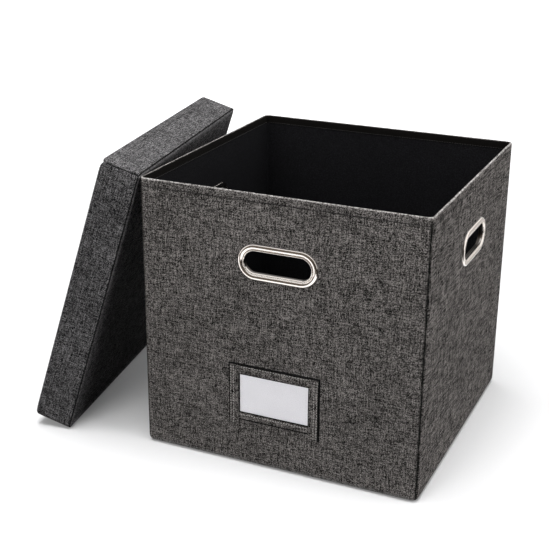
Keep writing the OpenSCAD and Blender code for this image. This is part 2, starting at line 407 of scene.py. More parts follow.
class MeshMaker:
    """Gathers points, faces and cloth coordinates, and turns them into one mesh object."""

    def __init__(self, seed: float = 0.0) -> None:
        """Starts empty.

        Args:
            seed: A number that sets this cloth's yarns apart from others'.
        """
        self.seed = seed
        self.points: list[Array] = []
        self.faces: list[tuple] = []
        self.cloth: list[Array] = []
        self.worn: list[Array] = []
        self.count = 0

    def add(self, points: Array, faces: list, cloth: Array, worn: Array | float = 0.0) -> None:
        """Adds points and the faces between them.

        Args:
            points: The points, n by 3.
            faces: Tuples of numbers of these points.
            cloth: Each point's place along and across its cloth, n by 2.
            worn: How each point is marked: on cloth from -1 for painted shade to 1 for pale abrasion and
                painted highlight, and on metal how dark it is.
        """
        self.points.append(points)
        self.faces += [tuple(i + self.count for i in f) for f in faces]
        whole = np.full((len(points), 3), self.seed)
        whole[:, :2] = cloth
        self.cloth.append(whole)
        self.worn.append(np.broadcast_to(worn, len(points)))
        self.count += len(points)

    def shell(self, outer: Array, inner: Array, cloth: Array, worn: Array | float = 0.0,
              keep: Array | None = None) -> None:
        """Adds a closed sheet between two grids of points.

        Args:
            outer: Points of the outer face, rows by columns by 3.
            inner: Points of the inner face.
            cloth: Each point's place along and across the cloth, rows by columns by 2.
            worn: Each point's mark of abrasion and painted light, rows by columns, or all of them.
            keep: Which cells of the grid are there. None stands for all of them.
        """
        rows, columns = outer.shape[:2]
        if keep is None:
            keep = np.ones((rows - 1, columns - 1), bool)
        number = np.arange(rows * columns).reshape(rows, columns)
        far = rows * columns
        a, b, c, d = number[:-1, :-1], number[:-1, 1:], number[1:, 1:], number[1:, :-1]
        face = np.stack([a, b, c, d], axis=-1)[keep]
        quads = [face, face[:, ::-1] + far]
        near = np.pad(keep, 1)
        for before, after, first, second in (
            (near[:-1, 1:-1], near[1:, 1:-1], number[:, :-1], number[:, 1:]),
            (near[1:-1, 1:], near[1:-1, :-1], number[:-1, :], number[1:, :]),
        ):
            for here, one, two in ((after & ~before, second, first), (before & ~after, first, second)):
                p, q = one[here], two[here]
                quads.append(np.stack([p, q, q + far, p + far], axis=-1))
        quads = np.concatenate(quads)
        used, quads = np.unique(quads, return_inverse=True)
        points = np.concatenate([outer.reshape(-1, 3), inner.reshape(-1, 3)])[used]
        both = np.concatenate([cloth.reshape(-1, 2)] * 2)[used]
        wear = np.concatenate([np.broadcast_to(worn, (rows, columns)).ravel()] * 2)[used]
        self.add(points, quads.reshape(-1, 4).tolist(), both, wear)

    def flat(self, x: Array, y: Array, face: Array | float, under: Array | float,
             worn: Array | float = 0.0, cloth: tuple[Array, Array] | None = None) -> None:
        """Adds a closed sheet between two heights over places x, y, which its cloth follows unless told."""
        outer, inner = (np.stack(np.broadcast_arrays(x, y, z), axis=-1) for z in (face, under))
        self.shell(outer, inner, np.stack(cloth or (x, y), axis=-1), worn)

    def seat(self, name: str, material: bpy.types.Material, body: str, slot: str,
             replaces: tuple[str, ...] = (), place: Matrix | None = None, crease: float = 40.0) -> None:
        """Makes the piece, with points that coincide made one, seats it on its body and reports it.

        Args:
            name: The piece's name.
            material: Its material.
            body: The body that it moves with.
            slot: The record's slot for its material; not used.
            replaces: The CAD nodes that it stands for.
            place: Where it goes, if its points aren't in the model's frame.
            crease: Angle between faces, in degrees, above which an edge looks sharp.
        """
        mesh = bpy.data.meshes.new(name)
        mesh.from_pydata(np.concatenate(self.points).tolist(), [], self.faces)
        cloth = mesh.attributes.new("cloth", "FLOAT_VECTOR", "POINT")
        cloth.data.foreach_set("vector", np.concatenate(self.cloth).ravel())
        worn = mesh.attributes.new("worn", "FLOAT", "POINT")
        worn.data.foreach_set("value", np.concatenate(self.worn))
        if place is not None:
            mesh.transform(place)
        work = bmesh.new()
        work.from_mesh(mesh)
        bmesh.ops.remove_doubles(work, verts=work.verts, dist=0.005 * MM)
        bmesh.ops.recalc_face_normals(work, faces=work.faces)
        work.to_mesh(mesh)
        work.free()
        mesh.polygons.foreach_set("use_smooth", np.ones(len(mesh.polygons), bool))
        mesh.set_sharp_from_angle(angle=math.radians(crease))
        mesh.materials.append(material)
        piece = bpy.data.objects.new(name, mesh)
        bpy.context.scene.collection.objects.link(piece)
        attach(piece, body)
        if replaces:
            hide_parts(*replaces)
        LOG.info("%s: %d faces on %s", piece.name, len(piece.data.polygons), body)


@dataclass(frozen=True)
class Stitching:
    """A row of machine stitches: their pitch and length, and the thread's radius."""

    pitch: float = 3.4 * MM
    length: float = 2.7 * MM
    radius: float = 0.3 * MM
    sides: int = 6
    seed: int = 5

    def sew(self, maker: MeshMaker, path: Array, ways: Array) -> None:
        """Adds stitches along a path, each dipping into the cloth at its ends.

        Args:
            maker: Where the stitches go.
            path: Points on the cloth, n by 3.
            ways: Unit vectors out of the cloth at these points.
        """
        length = distance_along(path)
        count = int(length[-1] // self.pitch)
        rng = np.random.default_rng(self.seed)
        at = (np.arange(count) + 0.5) * length[-1] / count
        at = at + rng.uniform(-0.04, 0.04, count) * self.pitch
        stretch = np.array([-0.5, -0.36, 0, 0.36, 0.5])
        dip = np.array([-1.1, 0.25, 0.7, 0.25, -1.1])
        girth = np.array([0.5, 0.95, 1, 0.95, 0.5])
        place = at[:, None] + stretch * self.length
        mid = np.stack([np.interp(place, length, path[:, i]) for i in range(3)], axis=-1)
        way = np.stack([np.interp(place, length, ways[:, i]) for i in range(3)], axis=-1)
        along = mid[:, -1:] - mid[:, :1]
        along = along / np.linalg.norm(along, axis=-1, keepdims=True)
        aside = np.cross(along, way)
        mid = mid + aside * rng.uniform(-0.15, 0.15, (count, 1, 1)) * self.radius
        mid = mid + way * (dip * self.radius)[:, None]
        turn = np.arange(self.sides) * 2 * math.pi / self.sides
        round_way = way[:, :, None] * np.cos(turn)[:, None] + aside[:, :, None] * np.sin(turn)[:, None]
        points = mid[:, :, None] + round_way * (girth * self.radius)[:, None, None]
        one = tube_faces(len(stretch), self.sides)
        size = len(stretch) * self.sides
        faces = [tuple(stitch * size + i for i in face) for stitch in range(count) for face in one]
        cloth = np.stack([np.broadcast_to(place[..., None], points.shape[:3]),
                          np.broadcast_to(turn * self.radius, points.shape[:3])], axis=-1)
        maker.add(points.reshape(-1, 3), faces, cloth.reshape(-1, 2))


def tube(maker: MeshMaker, path: Array, radius: float, sides: int = 8) -> None:
    """Adds a closed ring of cord along a level or leaning loop of points.

    Args:
        maker: Where the cord goes.
        path: Points of the loop, the last one joined to the first.
        radius: The cord's radius.
        sides: Number of its sides.
    """
    along = np.roll(path, -1, axis=0) - np.roll(path, 1, axis=0)
    along /= np.linalg.norm(along, axis=1, keepdims=True)
    up = np.array([0.0, 0.0, 1.0])
    aside = np.cross(along, up)
    turn = np.arange(sides) * 2 * math.pi / sides
    points = path[:, None] + radius * (aside[:, None] * np.cos(turn)[:, None] + up * np.sin(turn)[:, None])
    cloth = np.stack(np.broadcast_arrays(distance_along(path)[:, None], turn * radius), axis=-1)
    faces = tube_faces(len(path), sides, closed=True)
    maker.add(points.reshape(-1, 3), faces, cloth.reshape(-1, 2))


@dataclass(frozen=True)
class Plate:
    """A flat rectangle with round corners, as a grid of points about its middle."""

    width: float
    depth: float
    radius: float
    spacing: float = 5 * MM
    border: float = 6 * MM
    fine: float = 0.35 * MM

    def grid(self) -> tuple[Array, Array, Array]:
        """The grid's x and y, and each point's distance to the edge."""
        half = np.array([self.width, self.depth]) / 2
        marks = []
        for h in half:
            zones = ((-h, -h + self.border, self.fine), (h - self.border, h, self.fine))
            marks.append(graded(-h, h, self.spacing, zones))
        x, y = np.meshgrid(*marks)
        core = half - self.radius
        near = np.stack([np.abs(x) - core[0], np.abs(y) - core[1]])
        corner = (near > 0).all(axis=0) & (self.radius > 0)
        square = np.clip(near, 1e-9, None)
        pull = np.where(corner, square.max(axis=0) / np.hypot(*square), 1)
        x = np.where(corner, np.sign(x) * (core[0] + square[0] * pull), x)
        y = np.where(corner, np.sign(y) * (core[1] + square[1] * pull), y)
        inside = np.minimum(half[0] - np.abs(x), half[1] - np.abs(y))
        return x, y, np.where(corner, self.radius - square.max(axis=0), inside)


# Finishes: shader node groups and materials


class NodeWriter:
    """Adds nodes to one shader tree and links them."""

    def __init__(self, tree: bpy.types.NodeTree, bare: bool = False) -> None:
        """Starts on a tree, and takes out the nodes that it came with if it has to be bare."""
        self.tree = tree
        if bare:
            tree.nodes.clear()

    def feed(self, node: bpy.types.Node, inputs: dict) -> bpy.types.Node:
        """Links sockets to a node's inputs, and sets plain numbers and colours on them.

        Args:
            node: The node.
            inputs: Sockets, numbers and colours, by input name or number.

        Returns:
            The node.
        """
        for name, value in inputs.items():
            if isinstance(value, bpy.types.NodeSocket):
                self.tree.links.new(value, node.inputs[name])
            else:
                node.inputs[name].default_value = (*value, 1.0) if isinstance(value, tuple) else value
        return node

    def node(self, kind: str, inputs: dict | None = None, **settings: object) -> bpy.types.Node:
        """Adds a node.

        Args:
            kind: The node's type, without the leading ShaderNode.
            inputs: What goes into it, by input name or number.
            settings: The node's own settings.

        Returns:
            The node.
        """
        made = self.tree.nodes.new("ShaderNode" + kind)
        for name, value in settings.items():
            setattr(made, name, value)
        return self.feed(made, inputs or {})

    def math(self, operation: str, *values: object) -> bpy.types.NodeSocket:
        """The result of a Math node with these sockets or numbers."""
        return self.node("Math", dict(enumerate(values)), operation=operation).outputs[0]

    def times(self, first: object, second: object) -> bpy.types.NodeSocket:
        """The product of two sockets or numbers."""
        return self.math("MULTIPLY", first, second)

    def clamp(self, value: object) -> bpy.types.NodeSocket:
        """A number kept between 0 and 1."""
        return self.node("Clamp", {0: value}).outputs[0]

    def ramp(self, value: object, low: float, high: float, to_low: float = 0.0,
             to_high: float = 1.0) -> bpy.types.NodeSocket:
        """A value carried smoothly from one range to another."""
        inputs = {0: value, 1: low, 2: high, 3: to_low, 4: to_high}
        return self.node("MapRange", inputs, interpolation_type="SMOOTHSTEP").outputs[0]

    def mix(self, share: object, first: object, second: object) -> bpy.types.NodeSocket:
        """A colour between two colours."""
        return self.node("Mix", {0: share, 6: first, 7: second}, data_type="RGBA").outputs[2]

    def between(self, share: object, first: object, second: object) -> bpy.types.NodeSocket:
        """A number between two numbers."""
        return self.node("Mix", {0: share, 2: first, 3: second}, data_type="FLOAT").outputs[0]

    def pair(self, x: object, y: object) -> bpy.types.NodeSocket:
        """A vector from two numbers."""
        return self.node("CombineXYZ", {0: x, 1: y}).outputs[0]

    def noise(self, vector: object, scale: object, detail: float = 2.0,
              flat: bool = False) -> bpy.types.NodeSocket:
        """Noise from 0 to 1, with about a half as its mean."""
        inputs = {"Vector": vector, "Scale": scale, "Detail": detail, "Roughness": 0.55}
        return self.node("TexNoise", inputs, noise_dimensions="2D" if flat else "3D").outputs["Fac"]

    def place(self) -> bpy.types.NodeSocket:
        """Where a point lies on its object."""
        return self.node("TexCoord").outputs["Object"]

    def attribute(self, name: str, output: str) -> bpy.types.NodeSocket:
        """A value that the mesh holds."""
        return self.node("Attribute", attribute_name=name).outputs[output]

    def bump(self, height: bpy.types.NodeSocket, depth: float, strength: float = 1.0) -> bpy.types.NodeSocket:
        """A normal from a height between 0 and 1 that stands for depth metres."""
        return self.node("Bump", {"Height": height, "Distance": depth, "Strength": strength}).outputs[0]

    def group(self, effect: type["Effect"], **inputs: object) -> bpy.types.NodeOutputs:
        """The outputs of an effect's node group, placed with its own values."""
        return self.node("Group", inputs, node_tree=effect.tree()).outputs


class Effect:
    """A shader node group, built the first time that a material asks for it."""

    name = "Effect"
    inputs: dict[str, object] = {}
    outputs: tuple[str, ...] = ()

    @classmethod
    def tree(cls) -> bpy.types.NodeTree:
        """Finds the group's node tree, or builds it.

        Returns:
            The tree.
        """
        found = bpy.data.node_groups.get(cls.name)
        if found:
            return found
        made = bpy.data.node_groups.new(cls.name, "ShaderNodeTree")
        for name, value in cls.inputs.items():
            kind = "NodeSocketVector" if value is None else "NodeSocketFloat"
            socket = made.interface.new_socket(name=name, in_out="INPUT", socket_type=kind)
            if value is not None:
                socket.default_value = value
        for name in cls.outputs:
            made.interface.new_socket(name=name, in_out="OUTPUT", socket_type="NodeSocketFloat")
        writer = NodeWriter(made)
        source = made.nodes.new("NodeGroupInput")
        target = made.nodes.new("NodeGroupOutput")
        for name, socket in cls.wire(writer, source.outputs).items():
            made.links.new(socket, target.inputs[name])
        return made

    @classmethod
    def wire(cls, writer: NodeWriter, given: bpy.types.NodeOutputs) -> dict[str, bpy.types.NodeSocket]:
        """Builds the group's nodes.

        Args:
            writer: Adds the nodes.
            given: The group's inputs.

        Returns:
            The socket behind each output.
        """
        raise NotImplementedError


class WeaveEffect(Effect):
    """Plain weave of uneven yarns: each has its own drifting tone, and each crossing differs a little."""

    name = "plain_weave"
    inputs = {"Cloth": None, "Pitch": 0.8 * MM, "Streak": 14 * MM, "Speckle": 0.9, "Slub": 0.5}
    outputs = ("Tone", "Height")
    drift = 0.3
    drift_scale = (90.0, 130.0)
    yarn_step = 4.37
    warp_offset = 3.1
    weft_offset = 71.7

    @classmethod
    def yarns(cls, writer: NodeWriter, given: bpy.types.NodeOutputs, across: bpy.types.NodeSocket,
              along: bpy.types.NodeSocket, seed: bpy.types.NodeSocket, offset: float) -> tuple:
        """Builds one set of yarns.

        Args:
            writer: Adds the nodes.
            given: The group's inputs.
            across: Place across the yarns, in metres.
            along: Place along the yarns, in metres.
            seed: Sets this cloth apart from others.
            offset: Sets this set of yarns apart from the other.

        Returns:
            Sockets for the yarn's number, the place inside it from 0 to 1, and its tone.
        """
        wander = writer.pair(writer.times(across, cls.drift_scale[0]),
                             writer.math("MULTIPLY_ADD", along, cls.drift_scale[1], offset))
        drift = writer.noise(wander, 1.0, 1.0, flat=True)
        place = writer.math("MULTIPLY_ADD", drift, cls.drift, writer.math("DIVIDE", across, given["Pitch"]))
        number = writer.math("FLOOR", place)
        reach = writer.math("ADD", writer.math("DIVIDE", along, given["Streak"]), seed)
        spot = writer.pair(writer.math("MULTIPLY_ADD", number, cls.yarn_step, offset), reach)
        return number, writer.math("FRACT", place), writer.noise(spot, 1.0, 1.0, flat=True)

    @classmethod
    def wire(cls, writer: NodeWriter, given: bpy.types.NodeOutputs) -> dict[str, bpy.types.NodeSocket]:
        """Builds the yarns' tones and heights.

        Args:
            writer: Adds the nodes.
            given: The group's inputs.

        Returns:
            The socket behind each output.
        """
        cloth = writer.node("SeparateXYZ", {0: given["Cloth"]}).outputs
        seed = writer.times(cloth[2], 13.7)
        warp = cls.yarns(writer, given, cloth[0], cloth[1], seed, cls.warp_offset)
        weft = cls.yarns(writer, given, cloth[1], cloth[0], seed, cls.weft_offset)
        both = writer.times(writer.math("ADD", warp[0], weft[0]), 0.5)
        parity = writer.times(writer.math("FRACT", both), 2.0)
        humps = [writer.math("PINGPONG", writer.times(yarn[1], 2.0), 1.0) for yarn in (warp, weft)]
        heights = []
        for hump, ride, over in ((humps[0], humps[1], writer.math("SUBTRACT", 1.0, parity)),
                                 (humps[1], humps[0], parity)):
            lifted = writer.math("MULTIPLY_ADD", writer.times(ride, over), 0.6, 0.35)
            heights.append(writer.times(writer.math("POWER", hump, 0.6), lifted))
        warp_over = writer.math("GREATER_THAN", heights[0], heights[1])
        height = writer.math("MAXIMUM", heights[0], heights[1])
        crossing = writer.node("TexWhiteNoise", {"Vector": writer.pair(warp[0], weft[0])},
                               noise_dimensions="2D").outputs["Value"]
        speckle = writer.times(writer.math("SUBTRACT", crossing, 0.5), given["Speckle"])
        share = writer.math("MULTIPLY_ADD", warp_over, 0.4, 0.3)
        yarn = writer.math("SUBTRACT", writer.between(share, weft[2], warp[2]), 0.5)
        slub = writer.math("MULTIPLY_ADD", yarn, writer.times(given["Slub"], 3.6), 0.42)
        level = writer.math("POWER", writer.clamp(writer.math("ADD", slub, speckle)), 1.6)
        # Painted shade: a yarn's tone falls to half where it dips low between crossings.
        return {"Tone": writer.times(level, writer.ramp(height, 0.1, 0.75, 0.5, 1.0)), "Height": height}


class MottleEffect(Effect):
    """Slow, cloudy change over a surface, from 0 to 1."""

    name = "mottle"
    inputs = {"Place": None, "Size": 50 * MM}
    outputs = ("Cloud",)

    @classmethod
    def wire(cls, writer: NodeWriter, given: bpy.types.NodeOutputs) -> dict[str, bpy.types.NodeSocket]:
        """Builds the cloudiness.

        Args:
            writer: Adds the nodes.
            given: The group's inputs.

        Returns:
            The socket behind the output.
        """
        scale = writer.math("DIVIDE", 1.0, given["Size"])
        noise = writer.node("TexNoise", {"Vector": given["Place"], "Scale": scale, "Detail": 3.0})
        return {"Cloud": writer.ramp(noise.outputs["Fac"], 0.3, 0.7)}


class WearAndPaintedLightEffect(Effect):
    """A mark broken up by fine noise: pale where it is above 0, for abrasion and painted highlights, and
    painted shade where it is below.
    """

    name = "edge_wear"
    inputs = {"Place": None, "Worn": 0.0, "Amount": 0.5}
    outputs = ("Rub", "Soil")

    @classmethod
    def wire(cls, writer: NodeWriter, given: bpy.types.NodeOutputs) -> dict[str, bpy.types.NodeSocket]:
        """Builds the pale mask and the painted shade mask.

        Args:
            writer: Adds the nodes.
            given: The group's inputs.

        Returns:
            The socket behind each output.
        """
        fine = writer.noise(given["Place"], 420.0)
        patch = writer.noise(given["Place"], 110.0)
        broken = writer.times(writer.ramp(fine, 0.36, 0.62), writer.ramp(patch, 0.3, 0.62, 0.35, 1.0))
        pale_wear_and_highlight = writer.math("MAXIMUM", given["Worn"], 0.0)
        # Painted shade where the mark is below 0, broken up in patches.
        shade_share = writer.math("MAXIMUM", writer.times(given["Worn"], -1.0), 0.0)
        shade_breakup = writer.math("MULTIPLY_ADD", writer.ramp(patch, 0.3, 0.7), 0.5, 0.75)
        return {"Rub": writer.times(writer.times(broken, pale_wear_and_highlight), given["Amount"]),
                "Soil": writer.clamp(writer.times(shade_breakup, shade_share))}


class Finish:
    """A material with one main shader, whose inputs a subclass works out."""

    name: str

    def inputs(self, writer: NodeWriter) -> dict[str, object]:
        """What goes into the main shader: sockets, numbers and colours, by the name of its input."""
        raise NotImplementedError

    def build(self) -> bpy.types.Material:
        """Makes the material.

        Returns:
            The material.
        """
        made = bpy.data.materials.new(self.name)
        made.use_nodes = True
        writer = NodeWriter(made.node_tree)
        writer.feed(made.node_tree.nodes["Principled BSDF"], self.inputs(writer))
        return made


@dataclass(frozen=True)
class WovenCloth(Finish):
    """Woven cloth that reads the mesh's cloth coordinates and its marks of abrasion and painted light."""

    name: str
    dark: Colour
    light: Colour
    pale_wear_and_highlight: Colour
    pitch: float = 0.8 * MM
    streak: float = 14 * MM
    speckle: float = 0.9
    slub: float = 0.5
    roughness: float = 0.9
    specular: float = 0.08
    depth: float = 0.3 * MM
    # How strong the pale mark is: abrasion and painted highlights.
    rub: float = 1.0

    def inputs(self, writer: NodeWriter) -> dict[str, object]:
        """Works out the woven colour with its pale abrasion, painted highlights and painted shade, and the
        yarns' relief.

        Args:
            writer: Adds the nodes.

        Returns:
            What goes into the main shader.
        """
        place = writer.place()
        weave = writer.group(WeaveEffect, Cloth=writer.attribute("cloth", "Vector"), Pitch=self.pitch,
                             Streak=self.streak, Speckle=self.speckle, Slub=self.slub)
        cloud = writer.group(MottleEffect, Place=place, Size=70 * MM)["Cloud"]
        wear = writer.group(WearAndPaintedLightEffect, Place=place, Worn=writer.attribute("worn", "Fac"), Amount=self.rub)
        tone = writer.times(weave["Tone"], writer.between(cloud, 0.88, 1.1))
        clean = writer.mix(tone, self.dark, self.light)
        return {
            # Painted shade mixes in the dark yarn colour; abrasion and painted highlights mix in the pale
            # colour.
            "Base Color": writer.mix(wear["Rub"], writer.mix(wear["Soil"], clean, self.dark), self.pale_wear_and_highlight),
            "Roughness": writer.between(weave["Height"], self.roughness + 0.08, self.roughness - 0.06),
            "Specular IOR Level": self.specular,
            "Normal": writer.bump(weave["Height"], self.depth, 0.8)}


@dataclass(frozen=True)
class SewingThread(Finish):
    """Twisted sewing thread, whose plies show as slanting ribs."""

    name: str
    paint: Colour
    ply: float = 0.45 * MM

    def inputs(self, writer: NodeWriter) -> dict[str, object]:
        """Works out the ribs and the fuzz over them.

        Args:
            writer: Adds the nodes.

        Returns:
            What goes into the main shader.
        """
        cloth = writer.attribute("cloth", "Vector")
        parts = writer.node("SeparateXYZ", {0: cloth}).outputs
        slant = writer.math("DIVIDE", writer.math("ADD", parts[0], parts[1]), self.ply)
        rib = writer.math("PINGPONG", slant, 1.0)
        fuzz = writer.noise(cloth, 2500.0)
        # Painted shade: the thread darkens in the grooves between its plies.
        shade = writer.math("MULTIPLY_ADD", writer.times(rib, fuzz), 0.9, 0.45)
        dark = tuple(c * 0.35 for c in self.paint)
        return {"Base Color": writer.mix(shade, dark, self.paint), "Roughness": 0.7, "Sheen Weight": 0.15,
                "Normal": writer.bump(rib, 0.08 * MM)}


@dataclass(frozen=True)
class BrightMetal(Finish):
    """Plated steel: smooth and slightly hazy, with dull patches, random dark spots, and the darkening that
    the mesh carries: painted shade at a grip's outer edge against the cloth, and darker metal deeper in the
    slot.
    """

    name: str = "polished_nickel"
    paint: Colour = (0.96, 0.905, 0.85)
    dull: Colour = (0.87, 0.81, 0.755)
    tarnish_and_shade: Colour = (0.045, 0.036, 0.03)

    def inputs(self, writer: NodeWriter) -> dict[str, object]:
        # Darker deeper in the slot, and painted shade at the bead's outer edge where it meets the cloth.
        """Works out the dull patches, the spots and the darkening.

        Args:
            writer: Adds the nodes.

        Returns:
            What goes into the main shader.
        """
        place = writer.place()
        cloud = writer.group(MottleEffect, Place=place, Size=12 * MM)["Cloud"]
        haze = writer.group(MottleEffect, Place=place, Size=5 * MM)["Cloud"]
        plain = writer.mix(writer.times(cloud, 0.5), self.paint, self.dull)
        spots = writer.ramp(writer.noise(place, 700.0), 0.66, 0.74)
        # Random dark spots with the mesh's darkening: painted shade at the bezel's outer edge, darker deeper
        # in the slot.
        darkening = writer.math("MAXIMUM", writer.attribute("worn", "Fac"), writer.times(spots, 0.25))
        return {"Base Color": writer.mix(darkening, plain, self.tarnish_and_shade), "Metallic": 1.0,
                "Roughness": writer.between(darkening, writer.between(haze, 0.1, 0.15), 0.35),
                "Normal": writer.bump(cloud, 0.015 * MM, 0.4)}


@dataclass(frozen=True)
class GreyBoard(Finish):
    """Recycled board: fibres, specks and a chalky face."""

    name: str = "grey_board"
    paint: Colour = (0.26, 0.225, 0.175)
    speck: Colour = (0.12, 0.10, 0.08)

    def inputs(self, writer: NodeWriter) -> dict[str, object]:
        """Works out the specks, the pale clouds and the fibres.

        Args:
            writer: Adds the nodes.

        Returns:
            What goes into the main shader.
        """
        place = writer.place()
        cloud = writer.group(MottleEffect, Place=place, Size=30 * MM)["Cloud"]
        fibre = writer.noise(place, 1400.0, 4.0)
        specks = writer.ramp(writer.noise(place, 500.0), 0.62, 0.7)
        paint = writer.mix(writer.times(specks, 0.7), self.paint, self.speck)
        pale = tuple(c * 1.3 for c in self.paint)
        return {"Base Color": writer.mix(writer.times(cloud, 0.4), paint, pale),
                "Roughness": writer.between(fibre, 0.8, 1.0), "Specular IOR Level": 0.2,
                "Normal": writer.bump(fibre, 0.05 * MM)}


@dataclass(frozen=True)
class CardPaper(Finish):
    """Smooth uncoated card with a faint fibre."""

    name: str = "card_paper"
    paint: Colour = (0.875, 0.842, 0.869)
    shade: Colour = (0.8, 0.77, 0.795)

    def inputs(self, writer: NodeWriter) -> dict[str, object]:
        """Works out the fibres and the faint clouds.

        Args:
            writer: Adds the nodes.

        Returns:
            What goes into the main shader.
        """
        place = writer.place()
        fibre = writer.noise(place, 1800.0, 3.0)
        cloud = writer.group(MottleEffect, Place=place, Size=25 * MM)["Cloud"]
        tone = writer.math("ADD", writer.times(fibre, 0.5), writer.times(cloud, 0.4))
        return {"Base Color": writer.mix(tone, self.paint, self.shade),
                "Roughness": writer.between(fibre, 0.55, 0.75), "Normal": writer.bump(fibre, 0.01 * MM)}


@dataclass(frozen=True)
class ClearFilm(Finish):
    """Thin clear plastic, slightly grey, with a slight ripple and a few scuff marks."""

    name: str = "clear_film"
    paint: Colour = (0.825, 0.835, 0.84)
    bending: float = 1.3

    def inputs(self, writer: NodeWriter) -> dict[str, object]:
        """Works out the ripple and the scuff marks.

        Args:
            writer: Adds the nodes.

        Returns:
            What goes into the main shader.
        """
        place = writer.place()
        ripple = writer.noise(place, 45.0, 1.0)
        scuffs = writer.ramp(writer.noise(place, 260.0, 4.0), 0.55, 0.8)
        return {"Base Color": self.paint, "Transmission Weight": 1.0, "IOR": self.bending,
                "Roughness": writer.between(scuffs, 0.03, 0.12),
                "Normal": writer.bump(ripple, 0.2 * MM, 0.25)}


def worked(finish: Finish) -> bpy.types.Material:
    """A dataclass field whose material is built when the object that holds it is."""
    return field(default_factory=finish.build)


@dataclass
class Wardrobe:
    """All finishes, built once and handed to the sub-assemblies."""

    # Each cloth's third colour is the pale one for abrasion and painted highlights.
    linen: bpy.types.Material = worked(WovenCloth(
        "charcoal_linen", dark=(0.006, 0.0055, 0.005), light=(0.52, 0.484, 0.465),
        pale_wear_and_highlight=(0.56, 0.545, 0.53)))
    side_linen: bpy.types.Material = worked(WovenCloth(
        "side_linen", dark=(0.006, 0.0055, 0.005), light=(0.475, 0.439, 0.42),
        pale_wear_and_highlight=(0.56, 0.545, 0.53), streak=18 * MM, speckle=1.2, slub=1.3))
    # The lid's cloth is darker and cooler than the case's; part of its darkness is painted shade for the
    # lid's faces that lie in shade.
    lid_linen: bpy.types.Material = worked(WovenCloth(
        "dark_lid_linen", dark=(0.005, 0.005, 0.0052), light=(0.345, 0.334, 0.341),
        pale_wear_and_highlight=(0.4, 0.39, 0.4)))
    lining: bpy.types.Material = worked(WovenCloth(
        "black_lining", dark=(0.004, 0.004, 0.0045), light=(0.026, 0.026, 0.029), pale_wear_and_highlight=(0.05, 0.05, 0.052),
        pitch=0.5 * MM, streak=2 * MM, speckle=0.3, slub=0.6, roughness=0.8, depth=0.1 * MM))
    # Near-black cloth for painted shade: the sheets in the corner seams and the cord in the lid's top seam;
    # also the label's dark binding and window fold.
    tape: bpy.types.Material = worked(WovenCloth(
        "seam_tape", dark=(0.003, 0.003, 0.003), light=(0.02, 0.02, 0.02), pale_wear_and_highlight=(0.03, 0.03, 0.03),
        pitch=0.4 * MM, streak=3 * MM, depth=0.08 * MM))
    dark_thread: bpy.types.Material = worked(SewingThread("dark_thread", (0.018, 0.017, 0.017)))
    pale_thread: bpy.types.Material = worked(SewingThread("pale_thread", (0.64, 0.62, 0.59)))
    metal: bpy.types.Material = worked(BrightMetal())
    board: bpy.types.Material = worked(GreyBoard())
    card: bpy.types.Material = worked(CardPaper())
    film: bpy.types.Material = worked(ClearFilm())

    def dress(self, nodes: list[str], material: bpy.types.Material, slot: str) -> None:
        """Gives CAD nodes that stay in view a finish.

        Args:
            nodes: Their names.
            material: The finish's material.
            slot: The record's slot for it; not used.
        """
        for name in nodes:
            node = frame["nodes"][name]
            node.data.materials.clear()
            node.data.materials.append(material)


# Sub-assemblies


@dataclass(frozen=True)
class ClothSizes:
    """Thicknesses shared by the case and the lid, read from the frame where it holds them."""

    cover: float
    board: float
    lining: float
    hem: float
    corner: float
    corner_seam: float = 1.1 * MM
    stitch_drop: float = 9.6 * MM
    seam_roll: float = 1.2 * MM
    cut_roll: float = 0.7 * MM
    closed_to: float = 3 * MM
    closing: float = 6 * MM

    @property
    def fold(self) -> float:
        """Outer radius of the cloth where it folds over a board's edge."""
        return self.board / 2 + self.cover

    @property
    def inset(self) -> float:
        """Distance from a cover's face to the lining's."""
        return self.cover + self.board + self.lining

    @property
    def roll_depth(self) -> float:
        """How deep the cloth's edges are rolled in."""
        return self.cover * 0.88

    def wear(self, section: Section, beside: Array, above_row: Array, row_soil: float,
             closed: Array) -> Array:
        """How a hemmed side is marked: pale at its folded edge, from abrasion and on the lit rim a painted
        highlight, and painted shade at its corner seams, along its stitches and on the hem's inner face.

        Args:
            section: The side's section.
            beside: Distance of each column to the corner's seam.
            above_row: Distance of each row to the stitches.
            row_soil: How much painted shade lies in the groove of the stitches, from 0 to 1.
            closed: Share to which the corner's seam is closed in each row.

        Returns:
            Each point's mark of abrasion and painted light, rows by columns.
        """
        # Painted shade near the corner seams, in the stitches' groove and on the hem's inner face.
        seam = 0.75 * bell(beside, 1.6 * MM)[None] * (1 - 0.8 * closed)
        row = row_soil * bell(above_row, 0.7 * MM) * (section.face_out > 0.5)
        inside = 1.4 * np.clip(-2 * section.face_out, 0, 1)
        return section.worn[:, None] - np.maximum(seam, np.maximum(row, inside)[:, None])

    @classmethod
    def from_frame(cls) -> "ClothSizes":
        """Reads the sizes from the bottom's pieces, the left wall and the lining's top edge.

        Returns:
            The sizes.
        """
        cover_low, cover_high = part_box("bottom_cover")
        board_low, board_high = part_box("bottom_board")
        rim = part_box("front_cover")[1].z
        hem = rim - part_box("lining")[1].z
        corner = cover_low.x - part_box("left_cover")[0].x
        return cls(cover_high.z - cover_low.z, board_high.z - board_low.z, 0.5 * MM, hem, corner)


